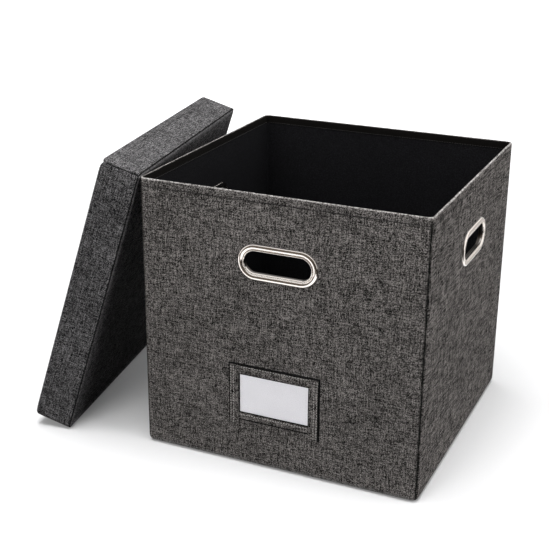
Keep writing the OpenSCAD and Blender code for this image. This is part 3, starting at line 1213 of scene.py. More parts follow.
@dataclass
class HemmedBox:
    """What the case and the lid share: hemmed sides that meet in a narrow seam up each corner."""

    cloth: ClothSizes
    finishes: Wardrobe
    body: str = "case"
    prefix: str = ""
    mouth: Mouth = Mouth.UP
    least_closed: float = 0.0
    # How much painted shade lies in the groove of the hem's stitches.
    row_soil: float = 0.9
    stitch_groove: float = 0.26 * MM
    thread_sink: float = 0.2 * MM
    end_rolls: tuple[float, float] = (0.7 * MM, 0.7 * MM)
    cloth_seed: int = 1
    stitch_seed: int = 20
    coarse: float = 5 * MM
    fine: float = 0.28 * MM
    # How far the near-black painted-shade sheet in each corner's seam laps under the cloth, and how deep its
    # face and back lie.
    tape_lap: float = 0.8 * MM
    tape_face: float = 0.48 * MM
    tape_back: float = 0.68 * MM
    height: float = field(init=False)
    outline: Outline = field(init=False)
    place: Matrix | None = field(init=False, default=None)

    @property
    def stitch_row(self) -> float:
        """Height of the hem's stitches."""
        return self.mouth.value * (self.height - self.cloth.stitch_drop)

    def from_mouth(self, up: Array) -> Array:
        """Distance of heights to the mouth."""
        return self.height - self.mouth.value * up

    def section(self) -> Section:
        """One side's cloth in section, hem and all."""
        raise NotImplementedError

    def along(self, side: Side) -> Array:
        """Positions along a side's cloth, close together at its seams."""
        return self.outline.marks(side, self.coarse, self.fine, self.cloth.corner_seam)

    def lift(self, sheet: Sheet) -> Array:
        """How far each point of one side's cloth stands off its plain face."""
        raise NotImplementedError

    def drawn_up(self, beside: Array | float, up: Array | float) -> Array | float:
        """How far the mouth is drawn up at a distance to a corner's seam and at a height."""
        return 0.0

    def cut_slot(self, sheet: Sheet, *faces: Array) -> Array | None:
        """Cuts what opening a side has, and tells which cells of its grid stay."""
        return None

    def linen(self, side: Side) -> bpy.types.Material:
        """The finish of a side's cloth."""
        raise NotImplementedError

    def add(self, maker: MeshMaker, name: str, material: bpy.types.Material, slot: str = "linen",
            *replaces: str) -> None:
        """Turns what a maker holds into one of this box's pieces, named without the box's prefix."""
        nodes = tuple(self.prefix + node for node in replaces)
        maker.seat(self.prefix + name, material, self.body, slot, nodes, self.place)

    def faces(self, sheet: Sheet, lift: Array | float, under: float,
              rise: Array | float = 0.0) -> list[Array]:
        """Both faces of a sheet.

        Args:
            sheet: The sheet.
            lift: How far its face stands off its section.
            under: How far its back lies under its section.
            rise: How far it is drawn up.

        Returns:
            The points of the face and those of the back.
        """
        made = [sheet.points(self.outline, stand) for stand in (lift, -under)]
        for points in made:
            points[..., 2] += rise
        return made

    def groove(self, x: Array, up: Array) -> Array:
        """Depth of the puckered groove that the hem's stitches draw into the cloth."""
        pucker = 0.8 + 0.2 * np.cos(2 * math.pi * x / Stitching.pitch)
        return self.stitch_groove * pucker * bell(up - self.stitch_row, 0.75 * MM)

    def stitch_zone(self, row: float) -> tuple[float, float, float]:
        """The zone of closer positions round a row of stitches."""
        return row - 2.4 * MM, row + 2.4 * MM, 0.3 * MM

    def cover(self, side: Side) -> None:
        """Makes one side's outer cloth, rolled in at its seams, which close towards the mouth.

        Args:
            side: The side.
        """
        section, along = self.section(), self.along(side)
        sheet = Sheet(side, along, section)
        whole, reach = self.outline.reach(side), self.outline.reach(side, self.cloth.corner_seam)
        beside = reach - np.abs(along)
        length, depth = section.length, self.cloth.roll_depth
        edge = np.maximum(roll(length, self.end_rolls[0], depth),
                          roll(length[-1] - length, self.end_rolls[1], depth))
        closed = 1 - fade(self.from_mouth(section.up), self.cloth.closed_to, self.cloth.closing)
        closed = closed[:, None] ** 2
        sink = np.maximum(roll(beside, self.cloth.seam_roll, depth) * (1 - 0.7 * closed), edge[:, None])
        spread = along * (1 + closed * (whole / reach - 1))
        outer, inner = self.faces(Sheet(side, spread, section), self.lift(sheet) - sink, self.cloth.cover,
                                  self.drawn_up(beside[None], section.up[:, None]))
        keep = self.cut_slot(sheet, outer, inner)
        # Pale folds from abrasion and a painted highlight on the rim, and painted shade at the seams, the
        # stitches and the inner hem.
        worn = self.cloth.wear(section, beside, self.from_mouth(section.up) - self.cloth.stitch_drop,
                               self.row_soil, np.maximum(closed, self.least_closed))
        maker = MeshMaker(seed=float(self.cloth_seed + side.value))
        maker.shell(outer, inner, sheet.cloth, worn, keep)
        self.add(maker, f"{side.word}_linen", self.linen(side), "linen", f"{side.word}_cover")

    def corner_seam_shades(self) -> None:
        """Makes the near-black sheet in the narrow gap up each corner between two sides' cloth, painted shade
        for the seam's shadow.
        """
        section = self.section()
        half = self.cloth.corner_seam / 2 + self.tape_lap
        for side in Side:
            middle = self.outline.reach(side)
            sheet = Sheet(side, np.linspace(middle - half, middle + half, 7), section)
            rise = self.drawn_up(0.0, section.up[:, None])
            maker = MeshMaker(seed=9.0)
            maker.shell(*self.faces(sheet, -self.tape_face, self.tape_back, rise), sheet.cloth)
            self.add(maker, f"{side.word}_corner_seam", self.finishes.tape)

    def hem_stitches(self) -> None:
        """Sews the hem: a row outside each side near the mouth, and the same row inside."""
        radius, row = self.outline.radius, self.stitch_row
        for side in Side:
            maker = MeshMaker()
            reach = self.outline.reach(side) - 1.2 * MM
            along = np.linspace(-reach, reach, 240)
            centres, ways = self.outline.stations(side, along)
            for out, facing in ((radius - self.thread_sink, 1.0), (radius - 2 * self.cloth.fold, -1.0)):
                path = centres + out * ways
                path[:, 2] += row + self.drawn_up(reach - np.abs(along), row)
                Stitching(seed=self.stitch_seed + side.value).sew(maker, path, ways * facing)
            self.add(maker, f"{side.word}_hem_stitches", self.finishes.dark_thread)

    def lining_wall(self, maker: MeshMaker, sheet: Sheet, lift: Array) -> None:
        """Adds one side's wall of the lining, which stands off its section by a lift."""
        outer, inner = self.faces(sheet, lift, self.cloth.lining)
        maker.shell(outer, inner, sheet.cloth + sheet.side.value, keep=self.cut_slot(sheet, outer, inner))

    def flat_marks(self, side: Side, along: Array) -> Array:
        """Those positions along a side that lie on its straight stretch."""
        return along[np.abs(along) <= self.outline.run(side) / 2 + SAME]


@dataclass
class CaseBody(HemmedBox):
    """The square box: its cloth, seams, stitches and lining. The cloth is flat where the card slides."""

    ripple: float = 0.35 * MM
    card_travel: float = 72 * MM
    grip_sides: tuple[Side, ...] = GRIP_SIDES
    grip_zone: float = 26 * MM

    def __post_init__(self) -> None:
        """Reads the case's outline and the grips' slots from the frame."""
        left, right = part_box("left_cover")[0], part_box("right_cover")[1]
        front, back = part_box("front_cover")[0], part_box("back_cover")[1]
        self.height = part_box("front_cover")[1].z
        self.outline = Outline(right.x - left.x, back.y - front.y, self.cloth.corner)
        low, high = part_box("front_grip")
        self.grip_outer = (high.z - low.z) / 2
        half_run = (high.x - low.x) / 2 - self.grip_outer
        self.slot = SlotShape((low.z + high.z) / 2, half_run, self.grip_outer * 0.76)
        self.grip_reach = half_run + self.grip_outer + 4 * MM

    @property
    def board_top(self) -> float:
        """Height of the walls' boards, where the cloth's fold has its centre."""
        return self.height - self.cloth.fold

    def section(self) -> Section:
        """Draws one side's cloth: from the seam underneath, up the wall, over the rim and down to the hem.

        Returns:
            Its section.
        """
        radius, fold = self.outline.radius, self.cloth.fold
        grip = self.slot.height - radius
        marks = graded(0, self.board_top - radius, self.coarse, (
            self.stitch_zone(self.stitch_row - radius),
            (grip - self.grip_zone, grip + self.grip_zone, 1.6 * MM)))
        inside = radius - 2 * fold
        hem = self.board_top - (self.height - self.cloth.hem)
        return (SectionPen()
                .arc((0, radius), radius, -90, 0, 12)
                .line((radius, radius), (radius, self.board_top), marks)
                .arc((radius - fold, self.board_top), fold, 0, 180, 13)
                .line((inside, self.board_top), (inside, self.board_top - hem), graded(0, hem, 0.8 * MM))
                .section())

    def grip_marks(self, side: Side, seam: float, spacing: float) -> Array:
        """Positions along a side, close together at its seams and, with a spacing, at its grip."""
        zones = ((-self.grip_reach, self.grip_reach, spacing),) if side in self.grip_sides else ()
        return self.outline.marks(side, self.coarse, self.fine, seam, zones=zones)

    def along(self, side: Side) -> Array:
        """Positions along a side's cloth, close together at its seams and at its grip."""
        return self.grip_marks(side, self.cloth.corner_seam, 1.8 * MM)

    def lift(self, sheet: Sheet) -> Array:
        """How far one side's cloth stands off its plain face.

        Args:
            sheet: The cloth.

        Returns:
            The lift of each point, rows by columns.
        """
        side, (x, up) = sheet.side, sheet.places
        outside = (sheet.section.face_out[:, None] > 0.5) & (up < self.board_top)
        calm = fade(self.outline.reach(side) - np.abs(x), 8 * MM, 25 * MM)
        calm = calm * fade(self.stitch_row - up, 4 * MM, 20 * MM) * fade(up, 8 * MM, 25 * MM)
        distance = self.slot.from_middle(x, up)[0] - self.grip_outer
        if side in self.grip_sides:
            calm = calm * fade(distance, 0, 14 * MM)
        if side == Side.FRONT:
            low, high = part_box("label_frame")
            beside = np.maximum.reduce([low.x - x, x - high.x, low.z - up, up - high.z - self.card_travel])
            calm = calm * fade(beside, 0, 12 * MM)
        lift = self.ripple * calm**2 * Ripples(11 + side.value).at(x, up) - self.groove(x, up)
        if side in self.grip_sides:
            lift = lift - 0.2 * MM * bell(distance, 2.2 * MM)
        return np.where(outside, lift, 0)

    def linen(self, side: Side) -> bpy.types.Material:
        """The finish of a side's cloth, which is more uneven on the right and the left."""
        return self.finishes.side_linen if side in (Side.RIGHT, Side.LEFT) else self.finishes.linen

    def cut_slot(self, sheet: Sheet, *faces: Array) -> Array | None:
        """Cuts the grip's slot: drops the cells inside it and draws its rim's points onto its outline.

        Args:
            sheet: The sheet with the slot.
            faces: Grids of points, whose points at the slot's rim are moved.

        Returns:
            Which cells of the grid stay. None, on a side without a grip, stands for all of them.
        """
        if sheet.side not in self.grip_sides:
            return None
        x, up = sheet.places
        middle_x = (x[1:, 1:] + x[:-1, :-1]) / 2
        middle_up = (up[1:, 1:] + up[:-1, :-1]) / 2
        keep = self.slot.from_middle(middle_x, middle_up)[0] > self.slot.radius
        touched = np.pad(keep, 1, constant_values=True)
        corners = np.stack([touched[:-1, :-1], touched[:-1, 1:], touched[1:, :-1], touched[1:, 1:]])
        rim = corners.any(axis=0) & ~corners.all(axis=0)
        distance, beside, above = self.slot.from_middle(x, up)
        pull = np.where(rim, self.slot.radius / np.maximum(distance, 1e-6) - 1, 0)
        ways = self.outline.stations(sheet.side, sheet.along)[1]
        tangent = np.stack([-ways[:, 1], ways[:, 0], 0 * ways[:, 0]], axis=-1)
        for points in faces:
            points += (pull * beside)[..., None] * tangent[None]
            points[..., 2] += pull * above
        return keep

    def bottom(self) -> None:
        """Makes the cloth under the case."""
        low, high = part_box("bottom_cover")
        x, y, edge = Plate(high.x - low.x, high.y - low.y, 0.0, spacing=12 * MM, border=2 * MM).grid()
        sink = roll(edge, self.cloth.cut_roll, self.cloth.roll_depth)
        maker = MeshMaker(seed=5.0)
        maker.flat(x, y, low.z + sink, high.z, np.clip(1 - edge / (4 * MM), 0, 1) * 0.6)
        self.add(maker, "bottom_linen", self.finishes.linen, "linen", "bottom_cover")

    def bag(self) -> None:
        """Makes the lining: four walls and a floor in one piece, open at the grips."""
        floor = self.cloth.inset
        reach = self.outline.radius - floor
        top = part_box("lining")[1].z
        grip = top - self.slot.height
        zone = (grip - self.grip_zone, grip + self.grip_zone, 2.4 * MM)
        section = (SectionPen()
                   .line((reach, top), (reach, floor + reach),
                         graded(0, top - floor - reach, self.coarse, (zone,)))
                   .arc((0, floor + reach), reach, 0, -90, 7, facing=-1)
                   .section())
        maker = MeshMaker(seed=6.0)
        marks = {side: self.grip_marks(side, 0.0, 2.6 * MM) for side in Side}
        for side, along in marks.items():
            sheet = Sheet(side, along, section)
            self.lining_wall(maker, sheet, self.lining_lift(sheet))
        x, y = np.meshgrid(*(self.flat_marks(side, marks[side]) for side in (Side.FRONT, Side.RIGHT)))
        maker.flat(x, y, floor, floor - self.cloth.lining, cloth=(x + 5.0, y + 5.0))
        self.add(maker, "lining_cloth", self.finishes.lining, "lining", "lining")

    def lining_lift(self, sheet: Sheet) -> Array:
        """How far the lining stands off its wall, loosest between the grip and the floor.

        Args:
            sheet: The wall's lining.

        Returns:
            The lift of each point, rows by columns.
        """
        side, (x, up) = sheet.side, sheet.places
        calm = fade(self.outline.reach(side) - np.abs(x), 4 * MM, 30 * MM)
        calm = calm * fade(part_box("lining")[1].z - up, 0, 25 * MM) * fade(up, 12 * MM, 30 * MM)
        if side in self.grip_sides:
            calm = calm * fade(self.slot.from_middle(x, up)[0] - self.grip_outer, 0, 20 * MM)
        soft = Ripples(31 + side.value, shortest=25 * MM, longest=90 * MM)
        return 0.55 * MM * calm * soft.at(x, up * 0.45)

    def build(self) -> None:
        """Makes every cloth piece of the case."""
        for side in Side:
            self.cover(side)
        self.corner_seam_shades()
        self.hem_stitches()
        self.bottom()
        self.bag()


@dataclass
class Lid(HemmedBox):
    """The lift-off lid: its place, its cloth and its seams, built with the top at z = 0."""

    body: str = "lid"
    prefix: str = "lid_"
    mouth: Mouth = Mouth.DOWN
    least_closed: float = 0.4
    row_soil: float = 0.25
    stitch_groove: float = 0.24 * MM
    thread_sink: float = 0.19 * MM
    end_rolls: tuple[float, float] = (0.7 * MM, 1.0 * MM)
    cloth_seed: int = 12
    stitch_seed: int = 40
    ridge: float = 0.7 * MM
    top_seam: float = 0.9 * MM
    corner_rise: float = 2.4 * MM
    corner_reach: float = 9.5 * MM
    corner_fade: float = 26 * MM
    cord: float = 0.6 * MM
    cord_depth: float = 0.62 * MM

    def __post_init__(self) -> None:
        """Finds how the lid leans from its top board's largest face, and its size in that frame."""
        mesh = frame["nodes"]["lid_top_board"].data
        faces = sorted(mesh.polygons, key=lambda face: face.area)
        total = Vector()
        lead = faces[-1].normal.copy()
        for face in faces:
            share = face.normal.dot(lead)
            if abs(share) > 0.999:
                total += face.normal * face.area * math.copysign(1, share)
        way = total.normalized()
        if way.x < 0:
            way = -way
        yaw = math.atan2(way.y, way.x)
        tilt = math.asin(-way.z)
        turn = Matrix.Rotation(yaw, 3, "Z") @ Matrix.Rotation(math.pi / 2 + tilt, 3, "Y")
        names = [name for name in frame["nodes"] if name.startswith("lid_")]
        points = np.array([v.co for name in names for v in frame["nodes"][name].data.vertices])
        local = points @ np.array(turn)
        low, high = local.min(axis=0), local.max(axis=0)
        middle = Vector(((low[0] + high[0]) / 2, (low[1] + high[1]) / 2, high[2]))
        self.place = Matrix.Translation(turn @ middle) @ turn.to_4x4()
        self.height = float(high[2] - low[2])
        self.outline = Outline(float(high[0] - low[0]), float(high[1] - low[1]), self.cloth.corner)

    @property
    def board_end(self) -> float:
        """Where the skirt's boards end, above the cloth's fold."""
        return self.cloth.fold - self.height

    @property
    def ceiling(self) -> float:
        """Height of the top board's underside."""
        return -self.cloth.cover - self.cloth.board

    def drawn_up(self, beside: Array | float, up: Array) -> Array:
        """How far the mouth is drawn up where it rounds a corner.

        Args:
            beside: Distance to the corner's seam.
            up: Height.

        Returns:
            The rise at each place, none far from the corner or from the mouth.
        """
        near = np.clip(1 - beside / self.corner_reach, 0, 1) ** 2
        low = np.clip((self.corner_fade - self.height - up) / self.corner_fade, 0, 1)
        return self.corner_rise * near * low

    def section(self) -> Section:
        """Draws one side of the skirt: from the hem's edge inside, round the mouth and up to the top's seam.

        Returns:
            Its section.
        """
        radius, fold = self.outline.radius, self.cloth.fold
        wall = -self.top_seam - self.board_end
        zones = ((wall - 2 * MM, wall, 0.25 * MM), self.stitch_zone(self.cloth.stitch_drop - fold))
        marks = graded(0, wall, self.coarse, zones)
        inside = radius - 2 * fold
        hem = self.cloth.hem - fold
        return (SectionPen()
                .line((inside, self.board_end + hem), (inside, self.board_end), graded(0, hem, 0.8 * MM))
                .arc((radius - fold, self.board_end), fold, -180, 0, 13)
                .line((radius, self.board_end), (radius, -self.top_seam), marks)
                .section())

    def lift(self, sheet: Sheet) -> Array:
        """How far one side of the skirt stands off its plain face.

        Args:
            sheet: The skirt's cloth.

        Returns:
            The lift of each point, rows by columns.
        """
        side, (x, up) = sheet.side, sheet.places
        calm = fade(self.outline.reach(side, self.cloth.corner_seam) - np.abs(x), 6 * MM, 20 * MM)
        calm = calm * fade(-up, 3 * MM, 8 * MM) * fade(up - self.stitch_row, 3 * MM, 8 * MM)
        lift = 0.2 * MM * calm * Ripples(51 + side.value).at(x, up) - self.groove(x, up)
        return np.where(sheet.section.face_out[:, None] > 0.5, lift, 0)

    def linen(self, side: Side) -> bpy.types.Material:
        """The finish of a side's cloth."""
        return self.finishes.lid_linen

    def board(self, side: Side) -> None:
        """Makes one board of the skirt, cut back at its ends where the mouth rounds the corners.

        Args:
            side: The side.
        """
        out = self.outline.radius - self.cloth.cover
        along = self.outline.marks(side, 30 * MM, 0.8 * MM, ease=self.corner_reach)
        tall = graded(0, self.ceiling - self.board_end, 3 * MM)
        section = SectionPen().line((out, self.board_end), (out, self.ceiling), tall).section()
        rise = self.drawn_up(self.outline.reach(side) - np.abs(along)[None], section.up[:, None])
        sheet = Sheet(side, along, section)
        maker = MeshMaker(seed=30.0 + side.value)
        maker.shell(*self.faces(sheet, 0.0, self.cloth.board, rise), sheet.cloth)
        self.add(maker, f"{side.word}_skirt_board", self.finishes.board, "board", f"{side.word}_board")

    def top(self) -> None:
        """Makes the cloth over the top, with a low ridge where its edge is turned in, a painted highlight on
        the ridge, a band of painted light along its border and painted shade at its very edge.
        """
        inset = 2 * self.top_seam
        plate = Plate(self.outline.width - inset, self.outline.depth - inset,
                      self.outline.radius - self.top_seam, border=9 * MM, fine=0.25 * MM)
        x, y, edge = plate.grid()
        lift = 0.25 * MM * fade(edge, 12 * MM, 40 * MM) * (Ripples(61).at(x, y) - 0.5)
        lift = lift + self.ridge * bell(edge - 2.2 * MM, 1.0 * MM)
        lift = lift - 0.3 * MM * bell(edge - 4.6 * MM, 0.9 * MM) - roll(edge, MM, self.cloth.cover * 0.85)
        # Painted light: a pale band within 8 mm of the edge and a highlight on the ridge; painted shade at
        # the very edge.
        border = 0.4 * np.clip((8 * MM - edge) / (1.5 * MM), 0, 1)
        worn = np.maximum(border, bell(edge - 2.1 * MM, 0.8 * MM)) - bell(edge, 0.9 * MM)
        maker = MeshMaker(seed=17.0)
        maker.flat(x, y, lift, -self.cloth.cover, worn, cloth=(y, x))
        self.add(maker, "top_linen", self.finishes.lid_linen, "linen", "top_cover")

    def top_cord(self) -> None:
        """Makes the dark cord round the top's edge, painted shade in the groove of the seam."""
        path = []
        for side in Side:
            centres, ways = self.outline.stations(side, self.outline.marks(side, 8 * MM, 0.4 * MM)[:-1])
            ring = centres + (self.outline.radius - self.cord_depth) * ways
            ring[:, 2] = -self.cord_depth
            path.append(ring)
        maker = MeshMaker(seed=9.0)
        tube(maker, np.concatenate(path), self.cord)
        self.add(maker, "top_seam", self.finishes.tape)

    def lining(self) -> None:
        """Makes the lining under the top and down the skirt to the hem."""
        ceiling = -self.cloth.inset
        reach = self.outline.radius - self.cloth.inset
        mouth = self.cloth.hem - self.height
        wall = ceiling - reach - mouth
        section = (SectionPen()
                   .line((reach, mouth), (reach, mouth + wall), graded(0, wall, self.coarse), facing=-1)
                   .arc((0, ceiling - reach), reach, 0, 90, 7, facing=-1)
                   .section())
        maker = MeshMaker(seed=18.0)
        marks = {}
        for side in Side:
            along = self.outline.marks(side, self.coarse, 0.5 * MM)
            edge = self.outline.run(side) / 2 + MM
            marks[side] = np.concatenate([[-edge], self.flat_marks(side, along), [edge]])
            sheet = Sheet(side, along, section)
            x, up = sheet.places
            calm = fade(self.outline.reach(side) - np.abs(x), 4 * MM, 20 * MM)
            calm = calm * fade(up - mouth, 0, 8 * MM) * fade(ceiling - up, 4 * MM, 8 * MM)
            soft = Ripples(71 + side.value, shortest=20 * MM, longest=70 * MM)
            self.lining_wall(maker, sheet, 0.3 * MM * calm * soft.at(x, up))
        x, y = np.meshgrid(marks[Side.FRONT], marks[Side.RIGHT])
        half_x, half_y = (self.outline.run(side) / 2 for side in (Side.FRONT, Side.RIGHT))
        near = np.minimum(half_x - np.abs(x), half_y - np.abs(y))
        soft = Ripples(79, shortest=30 * MM, longest=110 * MM)
        sag = 0.5 * MM * fade(near, 0, 40 * MM) * soft.at(x, y)
        tucked = 0.25 * MM * (near < -0.5 * MM)
        maker.flat(x, y, ceiling - sag + tucked, ceiling + self.cloth.lining, cloth=(x + 5.0, y + 5.0))
        self.add(maker, "lining_cloth", self.finishes.lining, "lining", "lining")

    def build(self) -> None:
        """Makes every cloth piece of the lid and the boards in its skirt."""
        for side in Side:
            self.cover(side)
            self.board(side)
        self.top()
        self.top_cord()
        self.corner_seam_shades()
        self.hem_stitches()
        self.lining()


@dataclass(frozen=True)
class Strip:
    """One cloth-wrapped strip of the label holder.

    Attributes:
        name: Its name.
        start: The corner at the window's edge where it starts, on the wall.
        way: The way along it.
        across: The way from the window's edge across it.
        length: Its length.
        width: Its width.
        thick: Its thickness.
        hollow: Width of the pocket cut behind it, from the window's edge.
        seed: Sets its yarns and stitches apart.
        seams: Distances of its rows of stitches from the window's edge.
        framed: Where along it the window starts and ends.
        overhang: How far its binding runs past its start and end.
    """

    name: str
    start: Vector
    way: Vector
    across: Vector
    length: float
    width: float
    thick: float
    hollow: float
    seed: int
    seams: tuple[float, ...]
    framed: tuple[float, float]
    overhang: tuple[float, float]


@dataclass
class LabelHolder:
    """The label holder: four cloth-wrapped strips round a window, sewn to the front."""

    finishes: Wardrobe
    body: str = "case"
    lap: float = 3 * MM
    bottom_width: float = 9 * MM
    pocket: float = 1.2 * MM
    pocket_side: float = 3.5 * MM
    round_edge: float = 0.75 * MM
    step: float = 0.5 * MM
    binding: float = 1.5 * MM
    crown: float = 0.22 * MM

    def __post_init__(self) -> None:
        """Reads the frame's and the window's edges from the CAD nodes."""
        low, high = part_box("label_frame")
        film_low, film_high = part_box("label_film")
        self.face = high.y
        self.thick = high.y - low.y
        self.low, self.high = low, high
        self.window_left, self.window_right = film_low.x + self.lap, film_high.x - self.lap
        self.window_bottom, self.window_top = film_low.z + self.lap, film_high.z - self.lap

    def bar(self, maker: MeshMaker, strip: Strip, points: Array, worn: Array | float = 0.0) -> None:
        """Adds a closed bar that runs along a strip.

        Args:
            maker: Where the bar goes.
            strip: The strip.
            points: (along, across, out) of each point, rows by columns by 3.
            worn: Each point's mark of abrasion and painted light, or all of them.
        """
        ways = np.array([strip.way, strip.across, Vector((0, -1, 0))])
        count, wide = points.shape[:2]
        girth = distance_along(points[count // 2, :, 1:])
        cloth = np.stack(np.broadcast_arrays(girth[None], points[..., 0]), axis=-1)
        maker.add((np.array(strip.start) + points @ ways).reshape(-1, 3), tube_faces(count, wide),
                  cloth.reshape(-1, 2), np.broadcast_to(worn, (count, wide)).ravel())

    def wrap(self, strip: Strip) -> None:
        """Makes a strip's cloth, drawn in at its ends and along its rows of stitches, with painted shade
        along its window edge and its outer edge.

        Args:
            strip: The strip.
        """
        length, width, thick = strip.length, strip.width, strip.thick
        front, facing = self.profile(strip)
        rows = graded(0, length, 2.0 * MM, ((0, 1.2 * MM, 0.2 * MM), (length - 1.2 * MM, length, 0.2 * MM)))
        ends = roll(np.minimum(rows, length - rows), 0.9 * MM, 0.5 * MM)
        x, t = front[:, 0], front[:, 1]
        upper = t > thick - 0.9 * MM
        seam = np.zeros((len(rows), len(front)))
        wave = 0.75 + 0.25 * np.cos(2 * math.pi * rows / Stitching.pitch)
        for line in strip.seams:
            seam += 0.3 * MM * wave[:, None] * bell(x - line, 0.55 * MM) * upper
        crown = self.crown * np.sin(np.clip(x / width, 0, 1) * math.pi) * upper
        lift = crown - seam - ends[:, None]
        across = x + facing[:, 0] * lift * (np.abs(facing[:, 0]) > 0.3)
        points = np.stack(np.broadcast_arrays(rows[:, None], across, t + facing[:, 1] * lift), axis=-1)
        bare = (rows > strip.framed[0]) & (rows < strip.framed[1])
        # Painted shade along the window's edge, stronger where the window is open, and along the outer edge.
        beside = bell(x, 0.8 * MM)[None] * np.where(bare, 0.9, 0.3)[:, None]
        maker = MeshMaker(seed=float(strip.seed))
        self.bar(maker, strip, points, -np.maximum(beside, 0.9 * bell(width - x, 0.7 * MM)[None]))
        maker.seat(f"label_{strip.name}_strip", self.finishes.linen, self.body, "linen",
                   ("label_frame",), crease=60.0)

    def sew(self, strip: Strip) -> None:
        """Sews a strip to the wall.

        Args:
            strip: The strip.
        """
        maker = MeshMaker()
        margin = 1.4 * MM
        marks = np.linspace(margin, strip.length - margin, 60)
        out = np.array((0.0, -1.0, 0.0))
        for line in strip.seams:
            level = strip.thick - 0.12 * MM + self.crown * math.sin(line / strip.width * math.pi)
            spot = np.array(strip.start) + line * np.array(strip.across) + level * out
            path = spot + marks[:, None] * np.array(strip.way)
            stitches = Stitching(length=2.3 * MM, radius=0.34 * MM, seed=strip.seed)
            stitches.sew(maker, path, np.broadcast_to(out, path.shape))
        maker.seat(f"label_{strip.name}_stitches", self.finishes.pale_thread, self.body, "linen")

    def bind(self, strip: Strip) -> None:
        """Makes the dark binding round a strip's outer edge, which also stands in for the shadow along that
        edge, and the dark fold at the window, which is painted shade on the strip's inner side.

        Args:
            strip: The strip.
        """
        width, thick = strip.width, self.thick - self.step
        turn = np.linspace(0, math.pi / 2, 5)
        reach, top = self.binding, thick + 0.15 * MM
        outer = np.stack([width + reach * np.cos(turn) ** 0.6, top * np.sin(turn)], axis=-1)
        inner = np.array([[width - 0.3 * MM, top], [width - 0.3 * MM, 0.0]])
        edge = np.concatenate([outer, inner])
        window = np.array([[-0.8 * MM, self.pocket + 0.1 * MM], [0.2 * MM, self.pocket + 0.1 * MM],
                           [0.2 * MM, thick - 0.5 * MM], [-0.3 * MM, thick - 0.6 * MM],
                           [-0.8 * MM, thick - 0.9 * MM]])
        maker = MeshMaker(seed=9.0)
        run = (-strip.overhang[0], strip.length + strip.overhang[1])
        for loop, (low, high) in ((edge, run), (window, strip.framed)):
            rows = graded(low, high, 3 * MM)
            points = np.empty((len(rows), len(loop), 3))
            points[..., 0] = rows[:, None]
            points[..., 1:] = loop
            self.bar(maker, strip, points)
        maker.seat(f"label_{strip.name}_binding", self.finishes.tape, self.body, "linen")

    def profile(self, strip: Strip) -> tuple[Array, Array]:
        """Draws a strip in section.

        Args:
            strip: The strip.

        Returns:
            A loop of (across, out) points, and the way each faces.
        """
        width, thick, hollow = strip.width, strip.thick, strip.hollow
        r, back = self.round_edge, self.pocket
        turn = np.linspace(0, math.pi / 2, 6)
        near = np.stack([r - r * np.cos(turn), thick - r + r * np.sin(turn)], axis=-1)
        near_way = np.stack([-np.cos(turn), np.sin(turn)], axis=-1)
        flat = np.arange(r + 0.5 * MM, width - r - 0.2 * MM, 0.5 * MM)
        top = np.stack([flat, np.full_like(flat, thick)], axis=-1)
        top_way = np.tile([0.0, 1.0], (len(flat), 1))
        far = np.stack([width - r + r * np.sin(turn), thick - r + r * np.cos(turn)], axis=-1)
        far_way = np.stack([np.sin(turn), np.cos(turn)], axis=-1)
        if hollow < width:
            rear = np.array([[width, 0], [hollow, 0], [hollow, back], [0, back]])
        else:
            rear = np.array([[width, back], [0, back]])
        loop = np.concatenate([near, top, far, rear])
        ways = np.concatenate([near_way, top_way, far_way, np.zeros((len(rear), 2))])
        return loop, ways

    def strips(self) -> list[Strip]:
        """Lays out the strips: the sides in full height, and the head and the foot between them.

        Returns:
            The strips.
        """
        up, right = Vector((0, 0, 1)), Vector((1, 0, 0))
        tall = self.high.z - self.low.z
        wide = self.window_right - self.window_left
        side = self.high.x - self.window_right
        head = self.high.z - self.window_top
        cross = self.thick - self.step
        rows = (side - 5.2 * MM, side - 1.5 * MM)
        framed = (self.window_bottom - self.low.z, self.window_top - self.low.z)
        past = side + self.binding
        left_foot, right_foot, top_left, bottom_left = (Vector((x, self.face, z)) for x, z in (
            (self.window_left, self.low.z), (self.window_right, self.low.z),
            (self.window_left, self.window_top), (self.window_left, self.window_bottom)))
        return [
            Strip("left", left_foot, up, -right, tall, side, self.thick, self.pocket_side, 21, rows,
                  framed, (0.0, self.binding)),
            Strip("right", right_foot, up, right, tall, side, self.thick, self.pocket_side, 22, rows,
                  framed, (0.0, self.binding)),
            Strip("top", top_left, right, up, wide, head, cross, head, 23, (head - 1.5 * MM,),
                  (0.0, wide), (past, past)),
            Strip("bottom", bottom_left, right, -up, wide, self.bottom_width, cross,
                  self.lap + 0.25 * MM, 24, (2.6 * MM,), (0.0, wide), (0.0, 0.0))]

    def build(self) -> None:
        """Makes the four strips, and dresses the film and the card."""
        for strip in self.strips():
            self.wrap(strip)
            self.bind(strip)
            self.sew(strip)
        self.finishes.dress(["label_film"], self.finishes.film, "film")
        self.finishes.dress(["label_card"], self.finishes.card, "card")


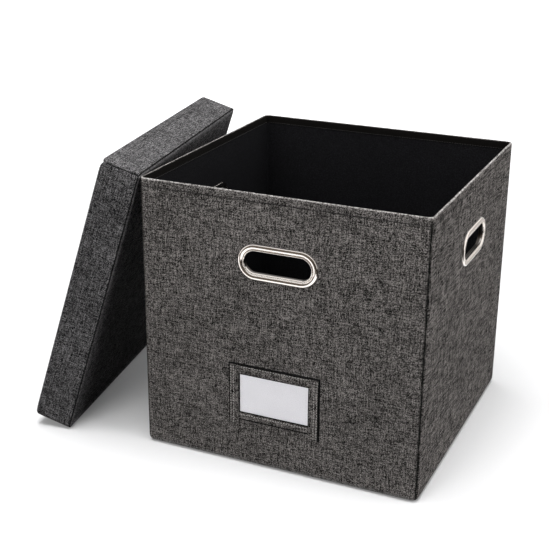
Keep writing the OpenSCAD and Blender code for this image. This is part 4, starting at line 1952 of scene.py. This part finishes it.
@dataclass
class BaseInsert:
    """The loose floor board in its sewn pouch."""

    finishes: Wardrobe
    body: str = "base_insert"
    margin: float = 6 * MM
    corner: float = 3 * MM

    def build(self) -> None:
        """Makes the pouch and sews it round its edge."""
        low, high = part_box("base_insert_cover")
        wide, deep, thick = high - low
        x, y, edge = Plate(wide, deep, self.corner, spacing=6 * MM, border=9 * MM, fine=0.5 * MM).grid()
        pucker = 0.7 + 0.3 * np.cos(2 * math.pi * (x + y) / Stitching.pitch)
        groove = 0.3 * MM * pucker * bell(edge - self.margin, 0.9 * MM)
        soft = Ripples(91, shortest=30 * MM, longest=120 * MM)
        swell = 0.3 * MM * fade(edge, 12 * MM, 40 * MM) * (soft.at(x, y) - 0.5)
        rim = roll(edge, thick * 0.5, thick * 0.42)
        maker = MeshMaker(seed=25.0)
        maker.flat(x, y, high.z + swell - groove - rim, low.z + rim, bell(edge, 1.5 * MM))
        maker.seat("base_insert_pouch", self.finishes.lining, self.body, "lining", ("base_insert_cover",))
        ring = Outline(wide - 2 * self.margin, deep - 2 * self.margin, self.corner)
        maker = MeshMaker()
        for side in Side:
            reach = ring.reach(side)
            centres, ways = ring.stations(side, np.linspace(-reach, reach, 220))
            path = centres + ring.radius * ways
            path[:, 2] = high.z - 0.18 * MM
            Stitching(seed=60 + side.value).sew(maker, path, np.tile([0.0, 0.0, 1.0], (len(path), 1)))
        maker.seat("base_insert_stitches", self.finishes.dark_thread, self.body, "lining")


@dataclass(frozen=True)
class GripShape:
    """A pressed bezel in section, measured outward from the slot's end axis and out of the wall."""

    outer: float
    run: float
    bead_width: float = 6.5 * MM
    rise: float = 2.6 * MM
    lip: float = 0.75 * MM
    metal: float = 0.8 * MM
    groove: float = 1.2 * MM
    through: float = 4.6 * MM

    @property
    def open_radius(self) -> float:
        """Radius of the opening's round ends."""
        return self.outer - self.bead_width - 2 * self.lip

    def bezel(self) -> tuple[Array, Array]:
        """Draws the bezel in section: the bead, the groove, the lip, the collar and its back.

        Returns:
            The section as a loop of points, and how dark each is: darker deeper in the slot, and painted
            shade at the bead's outer edge where it meets the cloth.
        """
        half = self.bead_width / 2
        radius = (half**2 + self.rise**2) / (2 * self.rise)
        drop = self.rise - radius
        foot = math.asin(-drop / radius)
        turn = np.linspace(foot, math.pi - math.asin((self.groove - drop) / radius), 25)
        bead = np.stack([self.outer - half + radius * np.cos(turn), drop + radius * np.sin(turn)], axis=-1)
        turn = np.linspace(math.asin((self.groove - self.metal) / self.lip), math.pi, 15)
        lip = np.stack([self.open_radius + self.lip * (1 + np.cos(turn)),
                        self.metal + self.lip * np.sin(turn)], axis=-1)
        collar = np.linspace(self.metal, -self.through, 7)[1:]
        inside = np.stack([np.full_like(collar, self.open_radius), collar], axis=-1)
        back = self.open_radius + self.metal
        behind = np.array([[back, -self.through], [back, -0.1 * MM]])
        loop = np.concatenate([bead, lip, inside, behind])
        darkening = np.maximum(0.95 * np.clip(-loop[:, 1] / (1.5 * MM), 0, 1),
                          0.8 * bell(loop[:, 0] - self.outer, 0.3 * MM))
        return loop, darkening

    def washer(self, width: float, thick: float) -> tuple[Array, Array]:
        """The inner ring's section, round at its outer edge.

        Args:
            width: How far it reaches from the collar.
            thick: Its thickness.

        Returns:
            The section as a loop of points, and how dark each is: darker along its inner edge at the collar.
        """
        inner = self.open_radius + self.metal + 0.1 * MM
        turn = np.linspace(-math.pi / 2, math.pi / 2, 9)
        centre = inner + width - thick / 2
        edge = np.stack([centre + thick / 2 * np.cos(turn),
                         thick / 2 * (np.sin(turn) - 1) + thick - self.through], axis=-1)
        rear = np.array([[inner, thick - self.through], [inner, -self.through]])
        loop = np.concatenate([edge, rear])
        # Darker along the ring's inner edge, at the collar.
        return loop, np.where(loop[:, 0] < inner + 0.1 * MM, 0.6, 0.0)


@dataclass
class Grips:
    """The pressed metal grips with their inner rings, swept round the slots."""

    finishes: Wardrobe
    body: str = "case"
    sides: tuple[Side, ...] = GRIP_SIDES
    bend_marks: int = 33
    run_marks: int = 17

    def sweep(self, side: Side, shape: GripShape, loop: Array, darkening: Array) -> MeshMaker:
        """Carries a section round the slot of one side.

        Args:
            side: The side.
            shape: The grip's sizes.
            loop: The section.
            darkening: How dark each of its points is.

        Returns:
            A maker that holds the mesh.
        """
        half, bends, runs = shape.run / 2, self.bend_marks, self.run_marks
        bend = np.linspace(-math.pi / 2, math.pi / 2, bends)
        straight = np.linspace(-half, half, runs + 2)[1:-1]
        ends = np.concatenate([np.full(bends, half), straight[::-1], np.full(bends, -half), straight])
        turn = np.concatenate([bend, np.full(runs, math.pi / 2), bend + math.pi, np.full(runs, -math.pi / 2)])
        low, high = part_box(f"{side.word}_grip")
        middle = (low + high) / 2
        out = Matrix.Rotation(side.turn, 3, "Z") @ Vector((0, -1, 0))
        along = Matrix.Rotation(side.turn, 3, "Z") @ Vector((1, 0, 0))
        wall = max(abs(low.dot(out)), abs(high.dot(out))) - shape.rise
        base = out * wall + along * middle.dot(along) + Vector((0, 0, middle.z))
        right = (ends[:, None] + np.cos(turn)[:, None] * loop[:, 0])[..., None] * np.array(along)
        up = (np.sin(turn)[:, None] * loop[:, 0])[..., None] * np.array((0.0, 0.0, 1.0))
        away = np.broadcast_to(loop[:, 1], (len(turn), len(loop)))[..., None] * np.array(out)
        points = np.array(base) + right + up + away
        count, wide = points.shape[:2]
        round_slot = distance_along(points[:, 0])
        cloth = np.stack(np.broadcast_arrays(round_slot[:, None], distance_along(loop)[None]), axis=-1)
        maker = MeshMaker()
        maker.add(points.reshape(-1, 3), tube_faces(count, wide, closed=True), cloth.reshape(-1, 2),
                  np.tile(darkening, count))
        return maker

    def build(self) -> None:
        """Makes each side's bezel and inner ring."""
        for side in self.sides:
            low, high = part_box(f"{side.word}_grip")
            wide = max(high.x - low.x, high.y - low.y)
            outer = (high.z - low.z) / 2
            shape = GripShape(outer, wide - 2 * outer)
            parts = {"grip_bezel": ("grip", shape.bezel()),
                     "grip_inner_ring": ("grip_ring", shape.washer(6 * MM, 1.2 * MM))}
            for name, (node, section) in parts.items():
                self.sweep(side, shape, *section).seat(
                    f"{side.word}_{name}", self.finishes.metal, self.body, "grip_metal",
                    (f"{side.word}_{node}",), crease=50.0)


@dataclass
class Boards:
    """The boards under the cloth, whose CAD shape stays."""

    finishes: Wardrobe

    def build(self) -> None:
        """Dresses the boards."""
        own = {f"lid_{side.word}_board" for side in Side}
        names = [name for name in frame["nodes"] if name.endswith("_board") and name not in own]
        self.finishes.dress(names, self.finishes.board, "board")


# The studio: camera, floor and light


@dataclass(frozen=True)
class PhotoCamera:
    """The camera that fits the photograph: its place, its turns in degrees and its focal length in pixels."""

    place: tuple[float, float, float] = (0.4794, -1.2582, 0.7054)
    azimuth: float = 24.005
    elevation: float = 21.06
    roll: float = 0.478
    focal: float = 1141.9
    picture: float = 550.0
    sensor: float = 36.0
    clip: tuple[float, float] = (0.05, 60.0)

    def build(self) -> None:
        """Makes the camera and sets it as the scene's."""
        a, e, r = (math.radians(x) for x in (self.azimuth, self.elevation, self.roll))
        back = Vector((math.sin(a) * math.cos(e), -math.cos(a) * math.cos(e), math.sin(e)))
        right = Vector((math.cos(a), math.sin(a), 0))
        up = back.cross(right)
        x_axis = right * math.cos(r) + up * math.sin(r)
        y_axis = up * math.cos(r) - right * math.sin(r)
        turn = Matrix((x_axis, y_axis, back)).transposed()
        data = bpy.data.cameras.new("photo_camera")
        data.sensor_width = self.sensor
        data.lens = self.focal / self.picture * self.sensor
        data.clip_start, data.clip_end = self.clip
        camera = bpy.data.objects.new("photo_camera", data)
        camera.matrix_world = Matrix.Translation(self.place) @ turn.to_4x4()
        bpy.context.scene.collection.objects.link(camera)
        bpy.context.scene.camera = camera


@dataclass(frozen=True)
class Lamp:
    """A soft box that metal doesn't mirror: its place, what it points at, its width and its watts."""

    name: str
    place: tuple[float, float, float]
    target: tuple[float, float, float]
    width: float
    power: float

    def build(self) -> None:
        """Makes the lamp."""
        data = bpy.data.lights.new(self.name, "AREA")
        data.shape = "SQUARE"
        data.size = self.width
        data.energy = self.power
        lamp = bpy.data.objects.new(self.name, data)
        way = Vector(self.target) - Vector(self.place)
        lamp.location = self.place
        lamp.rotation_euler = way.to_track_quat("-Z", "Y").to_euler()
        lamp.visible_glossy = False
        bpy.context.scene.collection.objects.link(lamp)


def stage_sheet(name: str, points: list, faces: list, material: bpy.types.Material) -> bpy.types.Object:
    """Makes a sheet of the studio, which isn't part of the model.

    Args:
        name: Its name.
        points: Its points.
        faces: Its faces, as tuples of their numbers.
        material: Its material.

    Returns:
        The sheet.
    """
    mesh = bpy.data.meshes.new(name)
    mesh.from_pydata(points, [], faces)
    mesh.materials.append(material)
    sheet = bpy.data.objects.new(name, mesh)
    bpy.context.scene.collection.objects.link(sheet)
    return sheet


@dataclass(frozen=True)
class MirrorCard:
    """A card that only mirrored rays see: a strip bent along lines across the studio, and its glow."""

    name: str
    wide: tuple[float, float]
    line: tuple[tuple[float, float], ...]
    paint: Colour

    def build(self) -> None:
        """Makes the card."""
        points = [(x, y, z) for y, z in self.line for x in self.wide]
        faces = [(i, i + 1, i + 3, i + 2) for i in range(0, len(points) - 2, 2)]
        made = bpy.data.materials.new(self.name)
        made.use_nodes = True
        writer = NodeWriter(made.node_tree, bare=True)
        glow = writer.node("Emission", {"Color": self.paint, "Strength": 1.0}).outputs[0]
        writer.node("OutputMaterial", {"Surface": glow})
        card = stage_sheet(self.name, points, faces, made)
        for ray in ("camera", "diffuse", "transmission", "shadow", "volume_scatter"):
            setattr(card, f"visible_{ray}", False)


@dataclass
class Studio:
    """The pale floor, the plain light, what metal mirrors of the room, and the camera."""

    lamps: tuple[Lamp, ...] = (
        Lamp("overhead", (-0.1, -0.15, 2.3), (-0.05, 0.0, 0.2), 1.9, 70.0),
        Lamp("front_box", (-0.5, -2.8, 1.3), (0.0, 0.0, 0.15), 1.6, 43.0),
        Lamp("right_box", (2.9, -0.1, 1.2), (0.0, 0.0, 0.15), 1.6, 49.0),
    )
    cards: tuple[MirrorCard, ...] = (
        MirrorCard("dark_card", (-3.0, 5.0), ((-0.74, 0.003), (-2.2, 0.003), (-2.2, 3.9)),
                   (0.13, 0.112, 0.096)),
        MirrorCard("black_card", (0.35, 5.0), ((0.0, 0.004), (-2.1, 0.004), (-2.1, 0.9)),
                   (0.03, 0.024, 0.02)),
        MirrorCard("grey_card", (0.24, 3.0), ((0.25, 0.003), (3.0, 0.003), (3.0, 1.0)),
                   (0.55, 0.53, 0.515)),
    )
    floor_size: float = 24.0
    floor_level: float = -0.0003
    white_from: float = 0.6
    white_to: float = 2.4
    world_light: float = 0.13
    white: Colour = (1.0, 1.0, 1.0)

    def seen(self, writer: NodeWriter) -> bpy.types.NodeSocket:
        """Tells rays that see the background directly, in a mirror or through glass from all others.

        Args:
            writer: Adds the nodes.

        Returns:
            1 for such rays and 0 for the others.
        """
        path = writer.node("LightPath").outputs
        direct = writer.math("MAXIMUM", path["Is Camera Ray"], path["Is Glossy Ray"])
        return writer.math("MAXIMUM", direct, path["Is Transmission Ray"])

    def floor(self) -> None:
        """Makes the floor: white with shadows where it is seen, and grey for the light that it bounces."""
        half, level = self.floor_size / 2, self.floor_level
        corners = [(-half, -half, level), (half, -half, level), (half, half, level), (-half, half, level)]
        made = bpy.data.materials.new("studio_floor")
        made.use_nodes = True
        writer = NodeWriter(made.node_tree, bare=True)
        far = writer.node("VectorMath", {0: writer.place()}, operation="LENGTH").outputs["Value"]
        strength = writer.ramp(far, self.white_from, self.white_to, 0.05, 0.95)
        matt = writer.node("BsdfDiffuse", {"Color": (0.83, 0.83, 0.835)}).outputs[0]
        glow = writer.node("Emission", {"Color": self.white, "Strength": strength}).outputs[0]
        bright = writer.node("AddShader", {0: matt, 1: glow}).outputs[0]
        dim = writer.node("BsdfDiffuse", {"Color": (0.05, 0.05, 0.05)}).outputs[0]
        mixed = writer.node("MixShader", {0: self.seen(writer), 1: dim, 2: bright}).outputs[0]
        writer.node("OutputMaterial", {"Surface": mixed})
        stage_sheet("studio_floor", corners, [(0, 1, 2, 3)], made)

    def sky(self) -> None:
        """Makes the world: white where it is seen, and a plain light from all round."""
        world = bpy.data.worlds.new("studio_sky")
        bpy.context.scene.world = world
        world.use_nodes = True
        writer = NodeWriter(world.node_tree, bare=True)
        plain, white = (writer.node("Background", {"Color": self.white, "Strength": light}).outputs[0]
                        for light in (self.world_light, 1.0))
        mixed = writer.node("MixShader", {0: self.seen(writer), 1: plain, 2: white}).outputs[0]
        writer.node("OutputWorld", {"Surface": mixed})

    def build(self) -> None:
        """Makes the camera, the floor, the sky, the lamps and the cards."""
        PhotoCamera().build()
        self.floor()
        self.sky()
        for thing in (*self.lamps, *self.cards):
            thing.build()
        bpy.context.scene.view_settings.view_transform = "Standard"


def main() -> None:
    logging.basicConfig(level=logging.INFO, format="%(message)s")
    Studio().build()
    finishes = Wardrobe()
    cloth = ClothSizes.from_frame()
    CaseBody(cloth, finishes).build()
    Lid(cloth, finishes).build()
    LabelHolder(finishes).build()
    BaseInsert(finishes).build()
    Grips(finishes).build()
    Boards(finishes).build()


if __name__ == "__main__":
    main()
